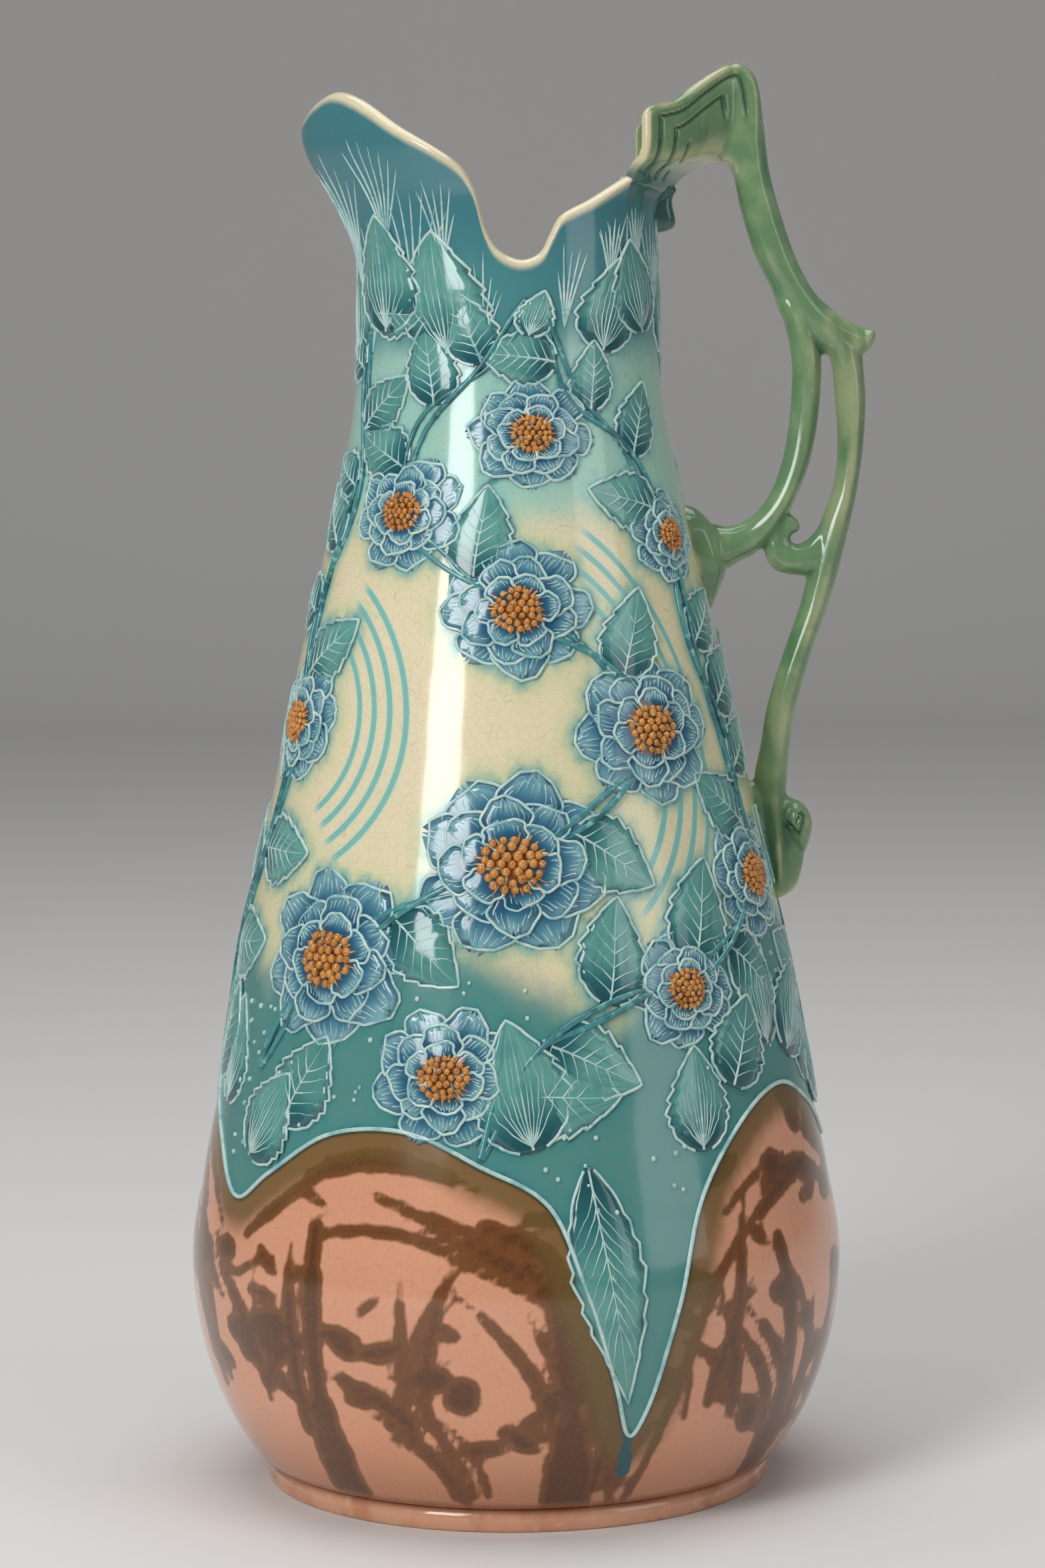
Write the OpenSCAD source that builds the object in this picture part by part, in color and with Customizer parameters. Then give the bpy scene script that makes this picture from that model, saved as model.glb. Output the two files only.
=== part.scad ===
// Tall glazed earthenware jug: a round foot, a full belly that tapers to a narrow neck, a wavy
// rim that rises into a flared spout on one side and into a stepped crest on the other, and a
// handle that springs from the crest as a forked plant stem.
//
// The origin is on the axis of the jug at table level. +Z is up, the handle lies towards +X
// and the spout towards -X. Each clay piece is a solid of its own, luted face to face.

/* [Body] */
// Height of the widest line of the belly above the table
belly_z = 61; // [56:1:66]
// Outer radius at the widest line of the belly
belly_r = 88; // [84:0.5:92]
// Thickness of the body wall
body_wall = 5; // [4:0.5:6]
// Thickness of the floor
floor_t = 7; // [5:0.5:9]

/* [Foot ring] */
// Largest outer radius of the foot ring
foot_r = 68.4; // [66:0.2:71]
// Height of the foot ring
foot_h = 6; // [5:0.5:7]
// Width of the foot ring, from its inner to its outer side
foot_w = 9; // [7:0.5:11]

/* [Neck and spout] */
// Height of the waist, where the neck is narrowest
waist_z = 313; // [305:1:320]
// Outer radius at the waist
waist_r = 39.8; // [38:0.2:42]
// Height of the joint between body and neck
neck_z = 300; // [292:1:303]
// Thickness of the neck wall
neck_wall = 4; // [3.4:0.2:4.6]
// Height of the spout's highest edge above the waist
spout_h = 58.5; // [54:0.5:62]
// How far the spout alone stands out past the waist at its tip
spout_flare = 13.2; // [11:0.2:16]

/* [Crest] */
// Height of the crest above the waist
crest_h = 67; // [64:0.5:70]
// How far the crest would come to a point past the waist
crest_flare = 27.7; // [26:0.1:29.5]
// Angle from the middle of the crest to each of its front edges
crest_angle = 39; // [37:0.5:41]
// Thickness of the crest's solid nose, measured from the limb's seat
nose_t = 5; // [4:0.5:6]

/* [Crest drop] */
// Height of the drop that hangs on the neck under the crest
drop_h = 11.6; // [10:0.2:13]
// Width of the drop
drop_w = 7.4; // [6:0.2:9]
// How far the drop stands out of the neck
drop_t = 5; // [4:0.1:5.6]

/* [Handle] */
// Height of the handle's lowest point above the table
tail_z = 156.4; // [150:0.2:162]
// Distance from the wall to the tip of the thorn
handle_reach = 58.5; // [55:0.5:62]
// Thickness of the upper limb, front to back
limb_depth = 10.4; // [9:0.2:12]
// Gap between clay pieces that lie side by side
seam_gap = 0.1; // [0.05:0.05:0.2]

/* [Shoulder pad] */
// Width of the pad, front to back
pad_w = 19; // [17:0.5:21]
// Greatest thickness of the pad before its seat is cut
pad_t = 7.4; // [7:0.1:8]

/* [Flowers] */
// Radius of the largest flower moulded on the body
bloom_r = 26; // [24:0.5:27]
// How far a flower's outer petals stand out of the wall
bloom_rise = 0.9; // [0.6:0.1:1.2]

/* [Hidden] */
$fn = 96;

// Body outline: the bowl is a stretch of an ellipse, the shoulder a smooth curve through shares
bowl_drop_share = 1.115;
foot_step = 0.12 * foot_w;
bowl_b = bowl_drop_share * belly_z;
bowl_foot_share = sqrt(1 - pow((belly_z - foot_h) / bowl_b, 2));
bowl_a = (belly_r - foot_r - foot_step) / (1 - bowl_foot_share);
shoulder_h = waist_z - belly_z;
// Height share from belly to waist, and the share of the way from waist_r to belly_r
shoulder_shares = [[0, 1], [0.092, 0.929], [0.2, 0.817], [0.344, 0.689], [0.489, 0.523],
                   [0.629, 0.367], [0.773, 0.183], [0.877, 0.062], [0.947, 0.0124], [1, 0]];
bowl_steps = 14;
shoulder_steps = 34;
cove_r = 1.8 * body_wall;
cove_turn = 15;

// Rim of the neck, from the spout round to the crest: the angle from the spout, and the height
// above the waist as a share of spout_h
rim_shares = [[0, 0.87], [7, 0.925], [14, 0.975], [23, 1], [35, 0.95], [50, 0.835],
              [64, 0.735], [73, 0.65], [78, 0.54], [81, 0.4], [86, 0.29], [95, 0.239],
              [103, 0.27], [107.5, 0.36], [112, 0.437], [125, 0.51], [180 - crest_angle, 0.61]];
rim_cuts = 2;
crest_cuts = 9;
spout_spread = 26;
spout_sharp = 1.7;
crest_spread = 16;
crest_sharp = 1.1;
spout_rise_shares = [0.2, 0.87];
crest_rise_shares = [0.345, 0.68];
crest_rise_power = 2.2;
// Height of the joint under the crest, at its middle, as a share of crest_h above the waist
crest_root_share = 0.5;
seam_power = 1.6;
slant_limit = 1.6;
neck_rows = 13;
rim_round_shares = [[0.1, 0.5], [0.35, 0.08], [0.65, 0.08], [0.9, 0.5]];
rim_round_share = 0.45;

// Top edge of the crest: share of crest_angle, and share of crest_h above the waist
crest_top_shares = [[0, 1], [0.14, 0.99], [0.367, 0.914], [0.6, 0.84], [0.79, 0.815],
                    [0.95, 0.8], [1, 0.775]];
// Outer face of the crest, from its root up: share of the flare, and share of the height
crest_face_shares = [[0, 0], [0.11, 0.1], [0.24, 0.17], [0.38, 0.22], [0.53, 0.25], [0.68, 0.29],
                     [0.84, 0.38], [0.94, 0.48], [0.99, 0.62], [1, 0.78], [1, 1]];

// Handle strands: each row is one rib, with its inner and its outer edge, each as a share of
// handle_reach beyond the wall and of handle_h above tail_z, and its depth share of limb_depth
handle_h = waist_z + crest_h - tail_z;
upper_shares = [[0.328, 0.877, 0.371, 0.998, 1.2], [0.349, 0.868, 0.452, 0.981, 1.12],
                [0.361, 0.854, 0.487, 0.935, 1.05], [0.374, 0.836, 0.514, 0.874, 1],
                [0.4, 0.81, 0.554, 0.832, 1], [0.434, 0.781, 0.602, 0.792, 1],
                [0.479, 0.753, 0.653, 0.758, 1], [0.523, 0.731, 0.721, 0.727, 1],
                [0.593, 0.686, 0.8, 0.707, 1], [0.725, 0.659, 0.884, 0.692, 0.92],
                [0.848, 0.641, 0.953, 0.684, 0.76], [0.955, 0.655, 1, 0.681, 0.54]];
inner_shares = [[0.578, 0.693, 0.729, 0.673, 0.95], [0.604, 0.659, 0.743, 0.649, 0.9],
                [0.6, 0.628, 0.733, 0.623, 0.87], [0.575, 0.59, 0.704, 0.586, 0.87],
                [0.533, 0.553, 0.656, 0.548, 0.87], [0.471, 0.516, 0.588, 0.511, 0.87],
                [0.39, 0.484, 0.485, 0.47, 0.88], [0.306, 0.463, 0.366, 0.435, 0.9],
                [0.229, 0.452, 0.269, 0.415, 0.95], [0.155, 0.449, 0.177, 0.404, 1],
                [0.091, 0.454, 0.096, 0.391, 1.08]];
outer_shares = [[0.751, 0.667, 0.932, 0.639, 0.9], [0.784, 0.644, 0.931, 0.623, 0.87],
                [0.784, 0.608, 0.924, 0.597, 0.85], [0.773, 0.567, 0.896, 0.561, 0.85],
                [0.742, 0.527, 0.851, 0.523, 0.85], [0.685, 0.489, 0.79, 0.482, 0.85],
                [0.596, 0.451, 0.723, 0.444, 0.87], [0.533, 0.417, 0.663, 0.412, 0.87],
                [0.465, 0.38, 0.594, 0.377, 0.86], [0.396, 0.346, 0.523, 0.344, 0.85],
                [0.302, 0.305, 0.429, 0.304, 0.85], [0.213, 0.264, 0.347, 0.263, 0.85],
                [0.141, 0.225, 0.277, 0.224, 0.85], [0.082, 0.184, 0.218, 0.183, 0.86],
                [0.02, 0.142, 0.174, 0.142, 0.88]];
curl_shares = [[0.533, 0.434, 0.443, 0.388, 0.76],
               [0.492, 0.428, 0.385, 0.39, 0.72], [0.464, 0.427, 0.34, 0.394, 0.66],
               [0.449, 0.429, 0.314, 0.405, 0.6], [0.446, 0.432, 0.312, 0.42, 0.56],
               [0.449, 0.4345, 0.333, 0.436, 0.52], [0.454, 0.436, 0.375, 0.451, 0.48],
               [0.461, 0.438, 0.425, 0.461, 0.46], [0.468, 0.44, 0.472, 0.462, 0.42],
               [0.474, 0.442, 0.503, 0.453, 0.34]];
// Seat of the two lower limbs under the upper one: its two ends, and where the two limbs meet
fork_shares = [[0.538, 0.723], [0.933, 0.651]];
fork_meet_share = 0.41;
// Seat of the curl on the outer limb: which ribs its top and its bottom lie between, and how far on
curl_top_rib = 7;
curl_top_share = 0.35;
curl_bottom_rib = 8;
curl_bottom_share = 0.75;
curl_rest_rib = 8;
limb_sides = 16;
limb_cuts = 2;
limb_square = 2.4;

// Shoulder pad and tail: rows from the top down, with height, how far the face stands out and
// half the width
pad_shares = [[1, 0.12, 0.3], [0.955, 0.42, 0.55], [0.85, 0.74, 0.85], [0.7, 0.97, 1],
              [0.5, 1, 1], [0.33, 0.82, 0.86], [0.2, 0.52, 0.62], [0.08, 0.22, 0.36],
              [0, 0.05, 0.16]];
pad_rise_shares = [0.349, 0.475];
tail_shares = [[1, 0.7, 0.72], [0.88, 0.66, 0.78], [0.82, 0.86, 0.8], [0.7, 0.99, 0.84],
               [0.6, 0.95, 0.9], [0.5, 0.78, 0.95], [0.36, 0.68, 0.98], [0.2, 0.56, 0.9],
               [0.07, 0.38, 0.66], [0, 0.1, 0.4]];
tail_rise_share = 0.142;
tail_t_share = 0.246;
tail_w_share = 1.24;
drop_shares = [[1, 0.2, 0.6], [0.8, 0.45, 0.85], [0.5, 0.85, 1], [0.25, 1, 0.95],
               [0.08, 0.8, 0.75], [0, 0.2, 0.35]];
edge_share = 0.04;
sprig_columns = 9;
// Flowers of the front half: the angle from the side between spout and handle, the height as a
// share of the way from belly to neck, the share of bloom_r, and the turn of the petals
front_blooms = [[-40, 0.364, 0.96, 10], [0, 0.469, 1, 30], [36, 0.607, 0.85, 5],
                [2, 0.736, 0.77, 50], [-35, 0.841, 0.65, 20], [8, 0.925, 0.63, 0],
                [64, 0.439, 0.73, 40], [-66, 0.611, 0.69, 15], [57, 0.812, 0.54, 33],
                [-13, 0.247, 0.77, 25], [36, 0.331, 0.65, 0]];
// The back half repeats them, a little smaller, by turns higher and lower
back_share = 0.96;
back_step = 0.0126;
back_turn = 17;
blooms = concat(front_blooms,
    [for (k = [0 : len(front_blooms) - 1]) let (b = front_blooms[k])
     [b[0] + 180, b[1] + (k % 2 == 0 ? -1 : 1) * back_step, b[2] * back_share, b[3] + back_turn]]);
bloom_petals = 8;
// Two rings of petals: share of the flower's radius, share of its rise, and turn in petals
petal_rings = [[1, 1, 0], [0.7, 2, 0.5]];
// Corners of one petal: turn in petals from its middle line, and share of the ring's radius
petal_corners = [[-0.22, 0.98], [0.22, 0.98], [0.5, 0.8]];
// Knob of stamens: share of the flower's radius, and share of its rise
stamen_shares = [0.28, 2.9];
bloom_squash = 0.88;
bloom_seat = 1;
// Larger than the whole jug, for cutting half of space away
far = 3 * waist_z;

// Smooth curve through rows of numbers, at u from 0 at the first row to 1 at the last
function tangent(rows, i) = (rows[min(i + 1, len(rows) - 1)] - rows[max(i - 1, 0)])
    / (min(i + 1, len(rows) - 1) - max(i - 1, 0));
function blend(a, ta, b, tb, t) = (2 * t * t * t - 3 * t * t + 1) * a + (t * t * t - 2 * t * t + t) * ta
    + (3 * t * t - 2 * t * t * t) * b + (t * t * t - t * t) * tb;
function along(rows, u) = let (s = u * (len(rows) - 1), i = min(floor(s), len(rows) - 2))
    blend(rows[i], tangent(rows, i), rows[i + 1], tangent(rows, i + 1), s - i);
function refine(rows, cuts) = let (n = (len(rows) - 1) * cuts) [for (k = [0 : n]) along(rows, k / n)];

// Height of a smooth curve through [x, y] rows at x, level at both ends
function slope(rows, i) = i == 0 || i == len(rows) - 1 ? 0
    : (rows[i + 1][1] - rows[i - 1][1]) / (rows[i + 1][0] - rows[i - 1][0]);
function curve_at(rows, x, i = 0) = i < len(rows) - 2 && x >= rows[i + 1][0] ? curve_at(rows, x, i + 1)
    : let (w = rows[i + 1][0] - rows[i][0])
      blend(rows[i][1], w * slope(rows, i), rows[i + 1][1], w * slope(rows, i + 1), (x - rows[i][0]) / w);

function mix(a, b, t) = a + (b - a) * t;
function ease(t) = let (s = min(max(t, 0), 1)) s * s * (3 - 2 * s);
function signed_pow(v, p) = sign(v) * pow(abs(v), p);

// Outer radius of the plain round body, and of the wall that the handle follows
function body_r(z) = z < belly_z
    ? belly_r - bowl_a + bowl_a * sqrt(1 - pow((belly_z - z) / bowl_b, 2))
    : mix(waist_r, belly_r, curve_at(shoulder_shares, (z - belly_z) / shoulder_h));
function wall_r(z) = z < waist_z ? body_r(z) : waist_r;

// How a lobe dies away with the angle from its middle
function lobe(angle, spread, sharp) = 1 / (1 + pow(abs(angle) / spread, sharp));
function rise_share(z, shares, height) =
    ease(((z - waist_z) / height - shares[0]) / (shares[1] - shares[0]));
function spout_out(turn, z) = spout_flare * lobe(turn, spout_spread, spout_sharp)
    * rise_share(z, spout_rise_shares, spout_h);
function crest_out(turn) = crest_flare * lobe(180 - turn, crest_spread, crest_sharp);
// Outer radius of the neck, turn degrees round from the spout
function neck_r(turn, z) = wall_r(z) + spout_out(turn, z)
    + crest_out(turn) * pow(rise_share(z, crest_rise_shares, crest_h), crest_rise_power);

function point_at(turn, r, z) = [-r * cos(turn), -r * sin(turn), z];

// Joint under the crest, and the crest's top edge, at an angle from its middle
corner_z = waist_z + rim_shares[len(rim_shares) - 1][1] * spout_h;
root_z = waist_z + crest_root_share * crest_h;
function seam_z(angle) = mix(root_z, corner_z, pow(abs(angle) / crest_angle, seam_power));
function crest_top_z(angle) = let (s = abs(angle) / crest_angle)
    waist_z + crest_h * curve_at(crest_top_shares, s);

// Rows of the neck: [turn, height of the top edge, how round the edge is]
half_rim = [for (row = refine(rim_shares, rim_cuts)) [row[0], waist_z + row[1] * spout_h, 1]];
half_seam = [for (k = [1 : crest_cuts]) let (a = crest_angle * (1 - k / crest_cuts))
             [180 - a, seam_z(a), 0]];
half_neck = concat(half_rim, half_seam);
neck_columns = concat(half_neck,
    [for (k = [len(half_neck) - 2 : -1 : 1]) [360 - half_neck[k][0], half_neck[k][1], half_neck[k][2]]]);

function wrap(turn) = turn > 180 ? 360 - turn : turn;
// Wall thickness along the radius, thicker where the wall runs aslant
function radial_wall(turn, z) = let (
        t = wrap(turn), r = neck_r(t, z),
        round_slope = (neck_r(min(t + 1, 180), z) - neck_r(max(t - 1, 0), z))
            / ((min(t + 1, 180) - max(t - 1, 0)) * PI / 180 * r),
        up_slope = neck_r(t, z + neck_wall / 4) - neck_r(t, z - neck_wall / 4))
    mix(body_wall, neck_wall, ease((z - neck_z) / (waist_z - neck_z)))
    * min(sqrt(1 + pow(round_slope, 2) + pow(up_slope / (neck_wall / 2), 2)), slant_limit);

// Closed loop of one column of the neck wall: up the outside, over the rim, down the inside
function neck_loop(column) = let (
        turn = column[0], t = wrap(turn), top = column[1], soft = column[2] * rim_round_share * neck_wall,
        w = radial_wall(t, top), r = neck_r(t, top),
        outside = [for (k = [0 : neck_rows]) let (z = mix(neck_z, top - soft, k / neck_rows))
                   point_at(turn, neck_r(t, z), z)],
        edge = [for (s = rim_round_shares) point_at(turn, r - s[0] * w, top - s[1] * soft)],
        inside = [for (k = [neck_rows : -1 : 0]) let (z = mix(neck_z, top - soft, k / neck_rows))
                  point_at(turn, neck_r(t, z) - radial_wall(t, z), z)])
    concat(outside, edge, inside);

// One column of the crest, angle degrees from its middle
function crest_loop(angle) = let (
        turn = 180 + angle, t = wrap(turn), low = seam_z(angle), top = crest_top_z(angle),
        soft = rim_round_share * neck_wall,
        r0 = neck_r(t, low), r1 = waist_r + crest_out(t), w0 = radial_wall(t, low),
        face = refine(crest_face_shares, 1),
        path = [for (s = face) [mix(r0, r1, s[0]), mix(low, top - soft, s[1])]],
        n = len(path) - 1,
        limit = (seat_x - nose_t) / cos(angle),
        back = [for (k = [0 : n]) let (d = path[min(k + 1, n)] - path[max(k - 1, 0)],
                    m = k == 0 ? [-1, 0] : [-d[1], d[0]] / norm(d),
                    q = path[k] + m * (k == 0 ? w0 : neck_wall))
                [min(q[0], limit), q[1]]],
        outside = [for (p = path) point_at(turn, p[0], p[1])],
        edge = [for (s = rim_round_shares)
                point_at(turn, mix(path[n][0], back[n][0], s[0]), top - s[1] * soft)],
        inside = [for (k = [n : -1 : 0]) point_at(turn, back[k][0], min(back[k][1], top - soft))])
    concat(outside, edge, inside);

// Place on the handle, and the ribs of a strand
function place(stand, rise) = let (z = tail_z + rise * handle_h) [wall_r(z) + stand * handle_reach, z];
function ribs(shares) = [for (s = shares) [place(s[0], s[1]), place(s[2], s[3]), s[4] * limb_depth / 2]];
fork_a = place(fork_shares[0][0], fork_shares[0][1]);
fork_b = place(fork_shares[1][0], fork_shares[1][1]);
fork_in = mix(fork_a, fork_b, fork_meet_share);
fork_out = fork_in + (fork_b - fork_a) * seam_gap / norm(fork_b - fork_a);
upper_ribs = ribs(upper_shares);
inner_ribs = concat([[fork_a, fork_in, limb_depth / 2]], ribs(inner_shares));
outer_ribs = concat([[fork_out, fork_b, limb_depth / 2]], ribs(outer_shares));
curl_seat = [mix(outer_ribs[curl_top_rib][0], outer_ribs[curl_top_rib + 1][0], curl_top_share),
             mix(outer_ribs[curl_bottom_rib][0], outer_ribs[curl_bottom_rib + 1][0], curl_bottom_share)];
curl_limb = outer_ribs[curl_bottom_rib];
curl_ribs = concat([[curl_seat[0], curl_seat[1], curl_shares[0][4] * limb_depth / 2]], ribs(curl_shares));
// Where the curl's side rests against the inner limb, and the way down that limb there
curl_rest = inner_ribs[curl_rest_rib][1];
curl_way = inner_ribs[curl_rest_rib + 1][1] - inner_ribs[curl_rest_rib - 1][1];
seat_low = upper_ribs[0][0];
seat_high = upper_ribs[0][1];
seat_x = seat_low[0];
pad_low = inner_ribs[len(inner_ribs) - 1][1];
pad_high = inner_ribs[len(inner_ribs) - 1][0];

// Ring of points round one rib
function rib_ring(low, high, depth) = let (middle = (low + high) / 2, half = (high - low) / 2)
    [for (k = [0 : limb_sides - 1]) let (a = 90 + 360 * (k + 0.5) / limb_sides,
         c = signed_pow(cos(a), 2 / limb_square), s = signed_pow(sin(a), 2 / limb_square))
     [middle[0] + half[0] * c, depth * s, middle[1] + half[1] * c]];
// The same ring bent round the side of a limb that it seats on, of that half width and half depth
function saddle_ring(ring, low, high, half, depth) = let (d = (high - low) / norm(high - low))
    [for (p = ring) let (back = half * (1 - pow(1 - pow(abs(p[1]) / depth, limb_square), 1 / limb_square)))
     [p[0] - d[1] * (back - seam_gap), p[1], p[2] + d[0] * (back - seam_gap)]];
function strand_rings(rows) = let (
        flat = [for (r = rows) [r[0][0], r[0][1], r[1][0], r[1][1], r[2]]])
    [for (r = refine(flat, limb_cuts)) rib_ring([r[0], r[1]], [r[2], r[3]], r[4])];

// Outer radius of the neck as its rows of facets give it, near the middle of the crest
function neck_face_r(turn, z) = let (s = neck_rows * (z - neck_z) / (root_z - neck_z), i = floor(s))
    mix(neck_r(turn, mix(neck_z, root_z, i / neck_rows)),
        neck_r(turn, mix(neck_z, root_z, (i + 1) / neck_rows)), s - i);
// Outward distance of the wall under a sprig, y to the side of the plane of the handle
function seat_out(y, z) = z < neck_z ? sqrt(pow(wall_r(z), 2) - y * y)
    : let (a = asin(y / wall_r(z))) neck_face_r(180 - abs(a), z) * cos(a) + seam_gap;

// Ring of a sprig that lies on the round wall: across its face and back along the wall
function sprig_ring(z, stand, half) = let (
        edge = edge_share * limb_depth,
        across = [for (k = [0 : sprig_columns - 1]) half * mix(-1, 1, k / (sprig_columns - 1))])
    concat(
        [for (y = across)
            [seat_out(y, z) + edge
             + max(stand - edge, 0) * pow(1 - pow(abs(y) / half, limb_square), 1 / limb_square), y, z]],
        [for (k = [sprig_columns - 1 : -1 : 0]) [seat_out(across[k], z), across[k], z]]);

// Closed surface through loops of points, each with as many points as the next
module loft(loops, ring = false) {
    n = len(loops);
    m = len(loops[0]);
    sides = [for (i = [0 : n - (ring ? 1 : 2)], j = [0 : m - 1])
             let (a = i * m + j, b = i * m + (j + 1) % m, c = ((i + 1) % n) * m + j,
                  d = ((i + 1) % n) * m + (j + 1) % m)
             each [[a, c, b], [b, c, d]]];
    near = [for (j = [0 : m / 2 - 2]) each [[j, j + 1, m - 1 - j], [j + 1, m - 2 - j, m - 1 - j]]];
    last = (n - 1) * m;
    away = [for (f = near) [f[0] + last, f[2] + last, f[1] + last]];
    polyhedron([for (loop = loops) each loop], ring ? sides : concat(sides, near, away), convexity = 10);
}

// Half of space beyond a line in the plane of the handle, on the right of the way from p to q
module beyond(p, q) {
    d = q - p;
    translate([p[0], 0, p[1]])
        rotate([0, -atan2(d[1], d[0]), 0])
            translate([-far, -far, -2 * far])
                cube(2 * far);
}

module foot_ring() {
    color("#E0A884")
        rotate_extrude()
            polygon([
                [foot_r - foot_w, foot_h], [foot_r - foot_w + foot_step, 0],
                [foot_r - foot_step, 0], [foot_r - foot_step / 4, foot_h / 4],
                [foot_r, foot_h / 2], [foot_r - foot_step / 4, foot_h * 3 / 4],
                [foot_r - foot_step, foot_h]]);
}

body_heights = concat(
    [for (k = [0 : bowl_steps]) mix(foot_h + foot_step, belly_z, k / bowl_steps)],
    [for (k = [1 : shoulder_steps]) mix(belly_z, neck_z, k / shoulder_steps)]);
function body_in_r(z) = body_r(z) - body_wall
    * sqrt(1 + pow((body_r(z + body_wall / 4) - body_r(z - body_wall / 4)) / (body_wall / 2), 2));
floor_z = foot_h + floor_t;

module vessel() {
    inside_heights = [for (z = body_heights) if (z > floor_z + cove_r) z];
    corner_r = body_in_r(floor_z + cove_r);
    rotate_extrude()
        polygon(concat(
            [[0, foot_h], [foot_r - foot_step, foot_h]],
            [for (z = body_heights) [body_r(z), z]],
            [for (k = [len(inside_heights) - 1 : -1 : 0])
                [k == len(inside_heights) - 1 ? body_r(neck_z) - body_wall
                 : body_in_r(inside_heights[k]), inside_heights[k]]],
            [for (a = [0 : cove_turn : 90])
                [corner_r - cove_r * (1 - cos(a)), floor_z + cove_r * (1 - sin(a))]],
            [[0, floor_z]]));
}

// Skin of even thickness on the wall, as far up and down as a flower of that radius reaches
module petal_skin(z, radius, rise) {
    reach = radius + (neck_z - belly_z) / shoulder_steps;
    rows = [for (h = body_heights) if (abs(h - z) < reach) h];
    rotate_extrude()
        polygon(concat([for (h = rows) [body_r(h) + rise, h]],
                       [for (k = [len(rows) - 1 : -1 : 0]) [body_r(rows[k]) - bloom_seat, rows[k]]]));
}

// Straight way out through the wall, for cutting an outline from the skin
module outward(phi, z) {
    translate([0, 0, z])
        rotate([90, 0, phi])
            translate([0, 0, belly_r / 4])
                linear_extrude(belly_r)
                    children();
}

module bloom(phi, z, radius, turn) {
    for (ring = petal_rings)
        intersection() {
            petal_skin(z, radius * ring[0], bloom_rise * ring[1]);
            outward(phi, z)
                polygon([for (k = [0 : bloom_petals - 1], c = petal_corners)
                         let (a = turn + 360 / bloom_petals * (k + ring[2] + c[0]),
                              s = radius * ring[0] * c[1])
                         [s * cos(a), bloom_squash * s * sin(a)]]);
        }
    intersection() {
        petal_skin(z, radius * stamen_shares[0], bloom_rise * stamen_shares[1]);
        outward(phi, z)
            circle(radius * stamen_shares[0]);
    }
}

module body() {
    color("#D9CDB0") {
        vessel();
        for (b = blooms)
            bloom(b[0], mix(belly_z, neck_z, b[1]), bloom_r * b[2], b[3]);
    }
}

module neck_spout() {
    color("#4A8F93") loft([for (c = neck_columns) neck_loop(c)], ring = true);
}

module handle_crest() {
    turns = [for (k = [-crest_cuts : crest_cuts]) crest_angle * k / crest_cuts];
    color("#6E9A6A")
        difference() {
            loft([for (a = turns) crest_loop(a)]);
            beyond(seat_low, seat_high);
        }
}

module crest_drop() {
    color("#5F8A62")
        loft([for (s = refine(drop_shares, limb_cuts))
              sprig_ring(root_z - drop_h * (1 - s[0]), drop_t * s[1], drop_w / 2 * s[2])]);
}

module upper_limb() {
    color("#6E9A6A")
        difference() {
            loft(strand_rings(upper_ribs));
            beyond(fork_a, fork_b);
        }
}

module inner_limb() {
    color("#6E9A6A") loft(strand_rings(inner_ribs));
}

module outer_limb() {
    color("#7FA070") loft(strand_rings(outer_ribs));
}

module branch_curl() {
    rings = strand_rings(curl_ribs);
    seat = saddle_ring(rings[0], curl_seat[0], curl_seat[1], norm(curl_limb[1] - curl_limb[0]) / 2,
                       curl_limb[2]);
    color("#8DAA78")
        difference() {
            loft([for (k = [0 : len(rings) - 1]) k == 0 ? seat : rings[k]]);
            beyond(curl_rest - curl_way, curl_rest + curl_way);
        }
}

module shoulder_pad() {
    rows = refine(pad_shares, limb_cuts);
    low = tail_z + pad_rise_shares[0] * handle_h;
    high = tail_z + pad_rise_shares[1] * handle_h;
    color("#7FA070")
        difference() {
            loft([for (s = rows) sprig_ring(mix(low, high, s[0]), pad_t * s[1], pad_w / 2 * s[2])]);
            beyond(pad_low, pad_high);
        }
}

module tail_scroll() {
    rows = refine(tail_shares, limb_cuts);
    color("#8DAA78")
        loft([for (s = rows) sprig_ring(tail_z + tail_rise_share * handle_h * s[0],
              tail_t_share * handle_reach * s[1], tail_w_share * limb_depth / 2 * s[2])]);
}

foot_ring();
body();
neck_spout();
handle_crest();
crest_drop();
upper_limb();
inner_limb();
outer_limb();
branch_curl();
shoulder_pad();
tail_scroll();
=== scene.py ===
"""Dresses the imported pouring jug: glazed skin, moulded flowers and leaves, slip lines, stem handle."""

import logging
import math
import random
from collections.abc import Sequence
from dataclasses import dataclass, field
from enum import Enum

import bmesh
import bpy
import numpy as np
from bmesh.types import BMEdge, BMesh, BMVert
from bpy.types import Material, Mesh, Node, NodeSocket, Object
from mathutils import Matrix, Vector, kdtree

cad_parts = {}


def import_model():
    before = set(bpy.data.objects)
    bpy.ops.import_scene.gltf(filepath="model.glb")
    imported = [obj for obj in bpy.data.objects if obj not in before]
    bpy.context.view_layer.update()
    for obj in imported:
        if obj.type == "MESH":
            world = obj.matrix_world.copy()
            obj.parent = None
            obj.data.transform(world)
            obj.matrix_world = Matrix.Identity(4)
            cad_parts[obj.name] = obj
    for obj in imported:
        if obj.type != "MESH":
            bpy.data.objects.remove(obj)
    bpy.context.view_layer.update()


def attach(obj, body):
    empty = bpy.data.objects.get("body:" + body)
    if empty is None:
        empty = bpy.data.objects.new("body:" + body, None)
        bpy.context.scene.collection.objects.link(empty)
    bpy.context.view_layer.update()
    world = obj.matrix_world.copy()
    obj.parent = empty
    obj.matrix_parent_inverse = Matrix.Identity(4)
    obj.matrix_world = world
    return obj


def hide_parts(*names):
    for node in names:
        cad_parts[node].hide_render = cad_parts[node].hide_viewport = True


LOG = logging.getLogger("jug")
MM = 0.001
Grid = np.ndarray
Rows = Sequence[Sequence[float]]


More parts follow.
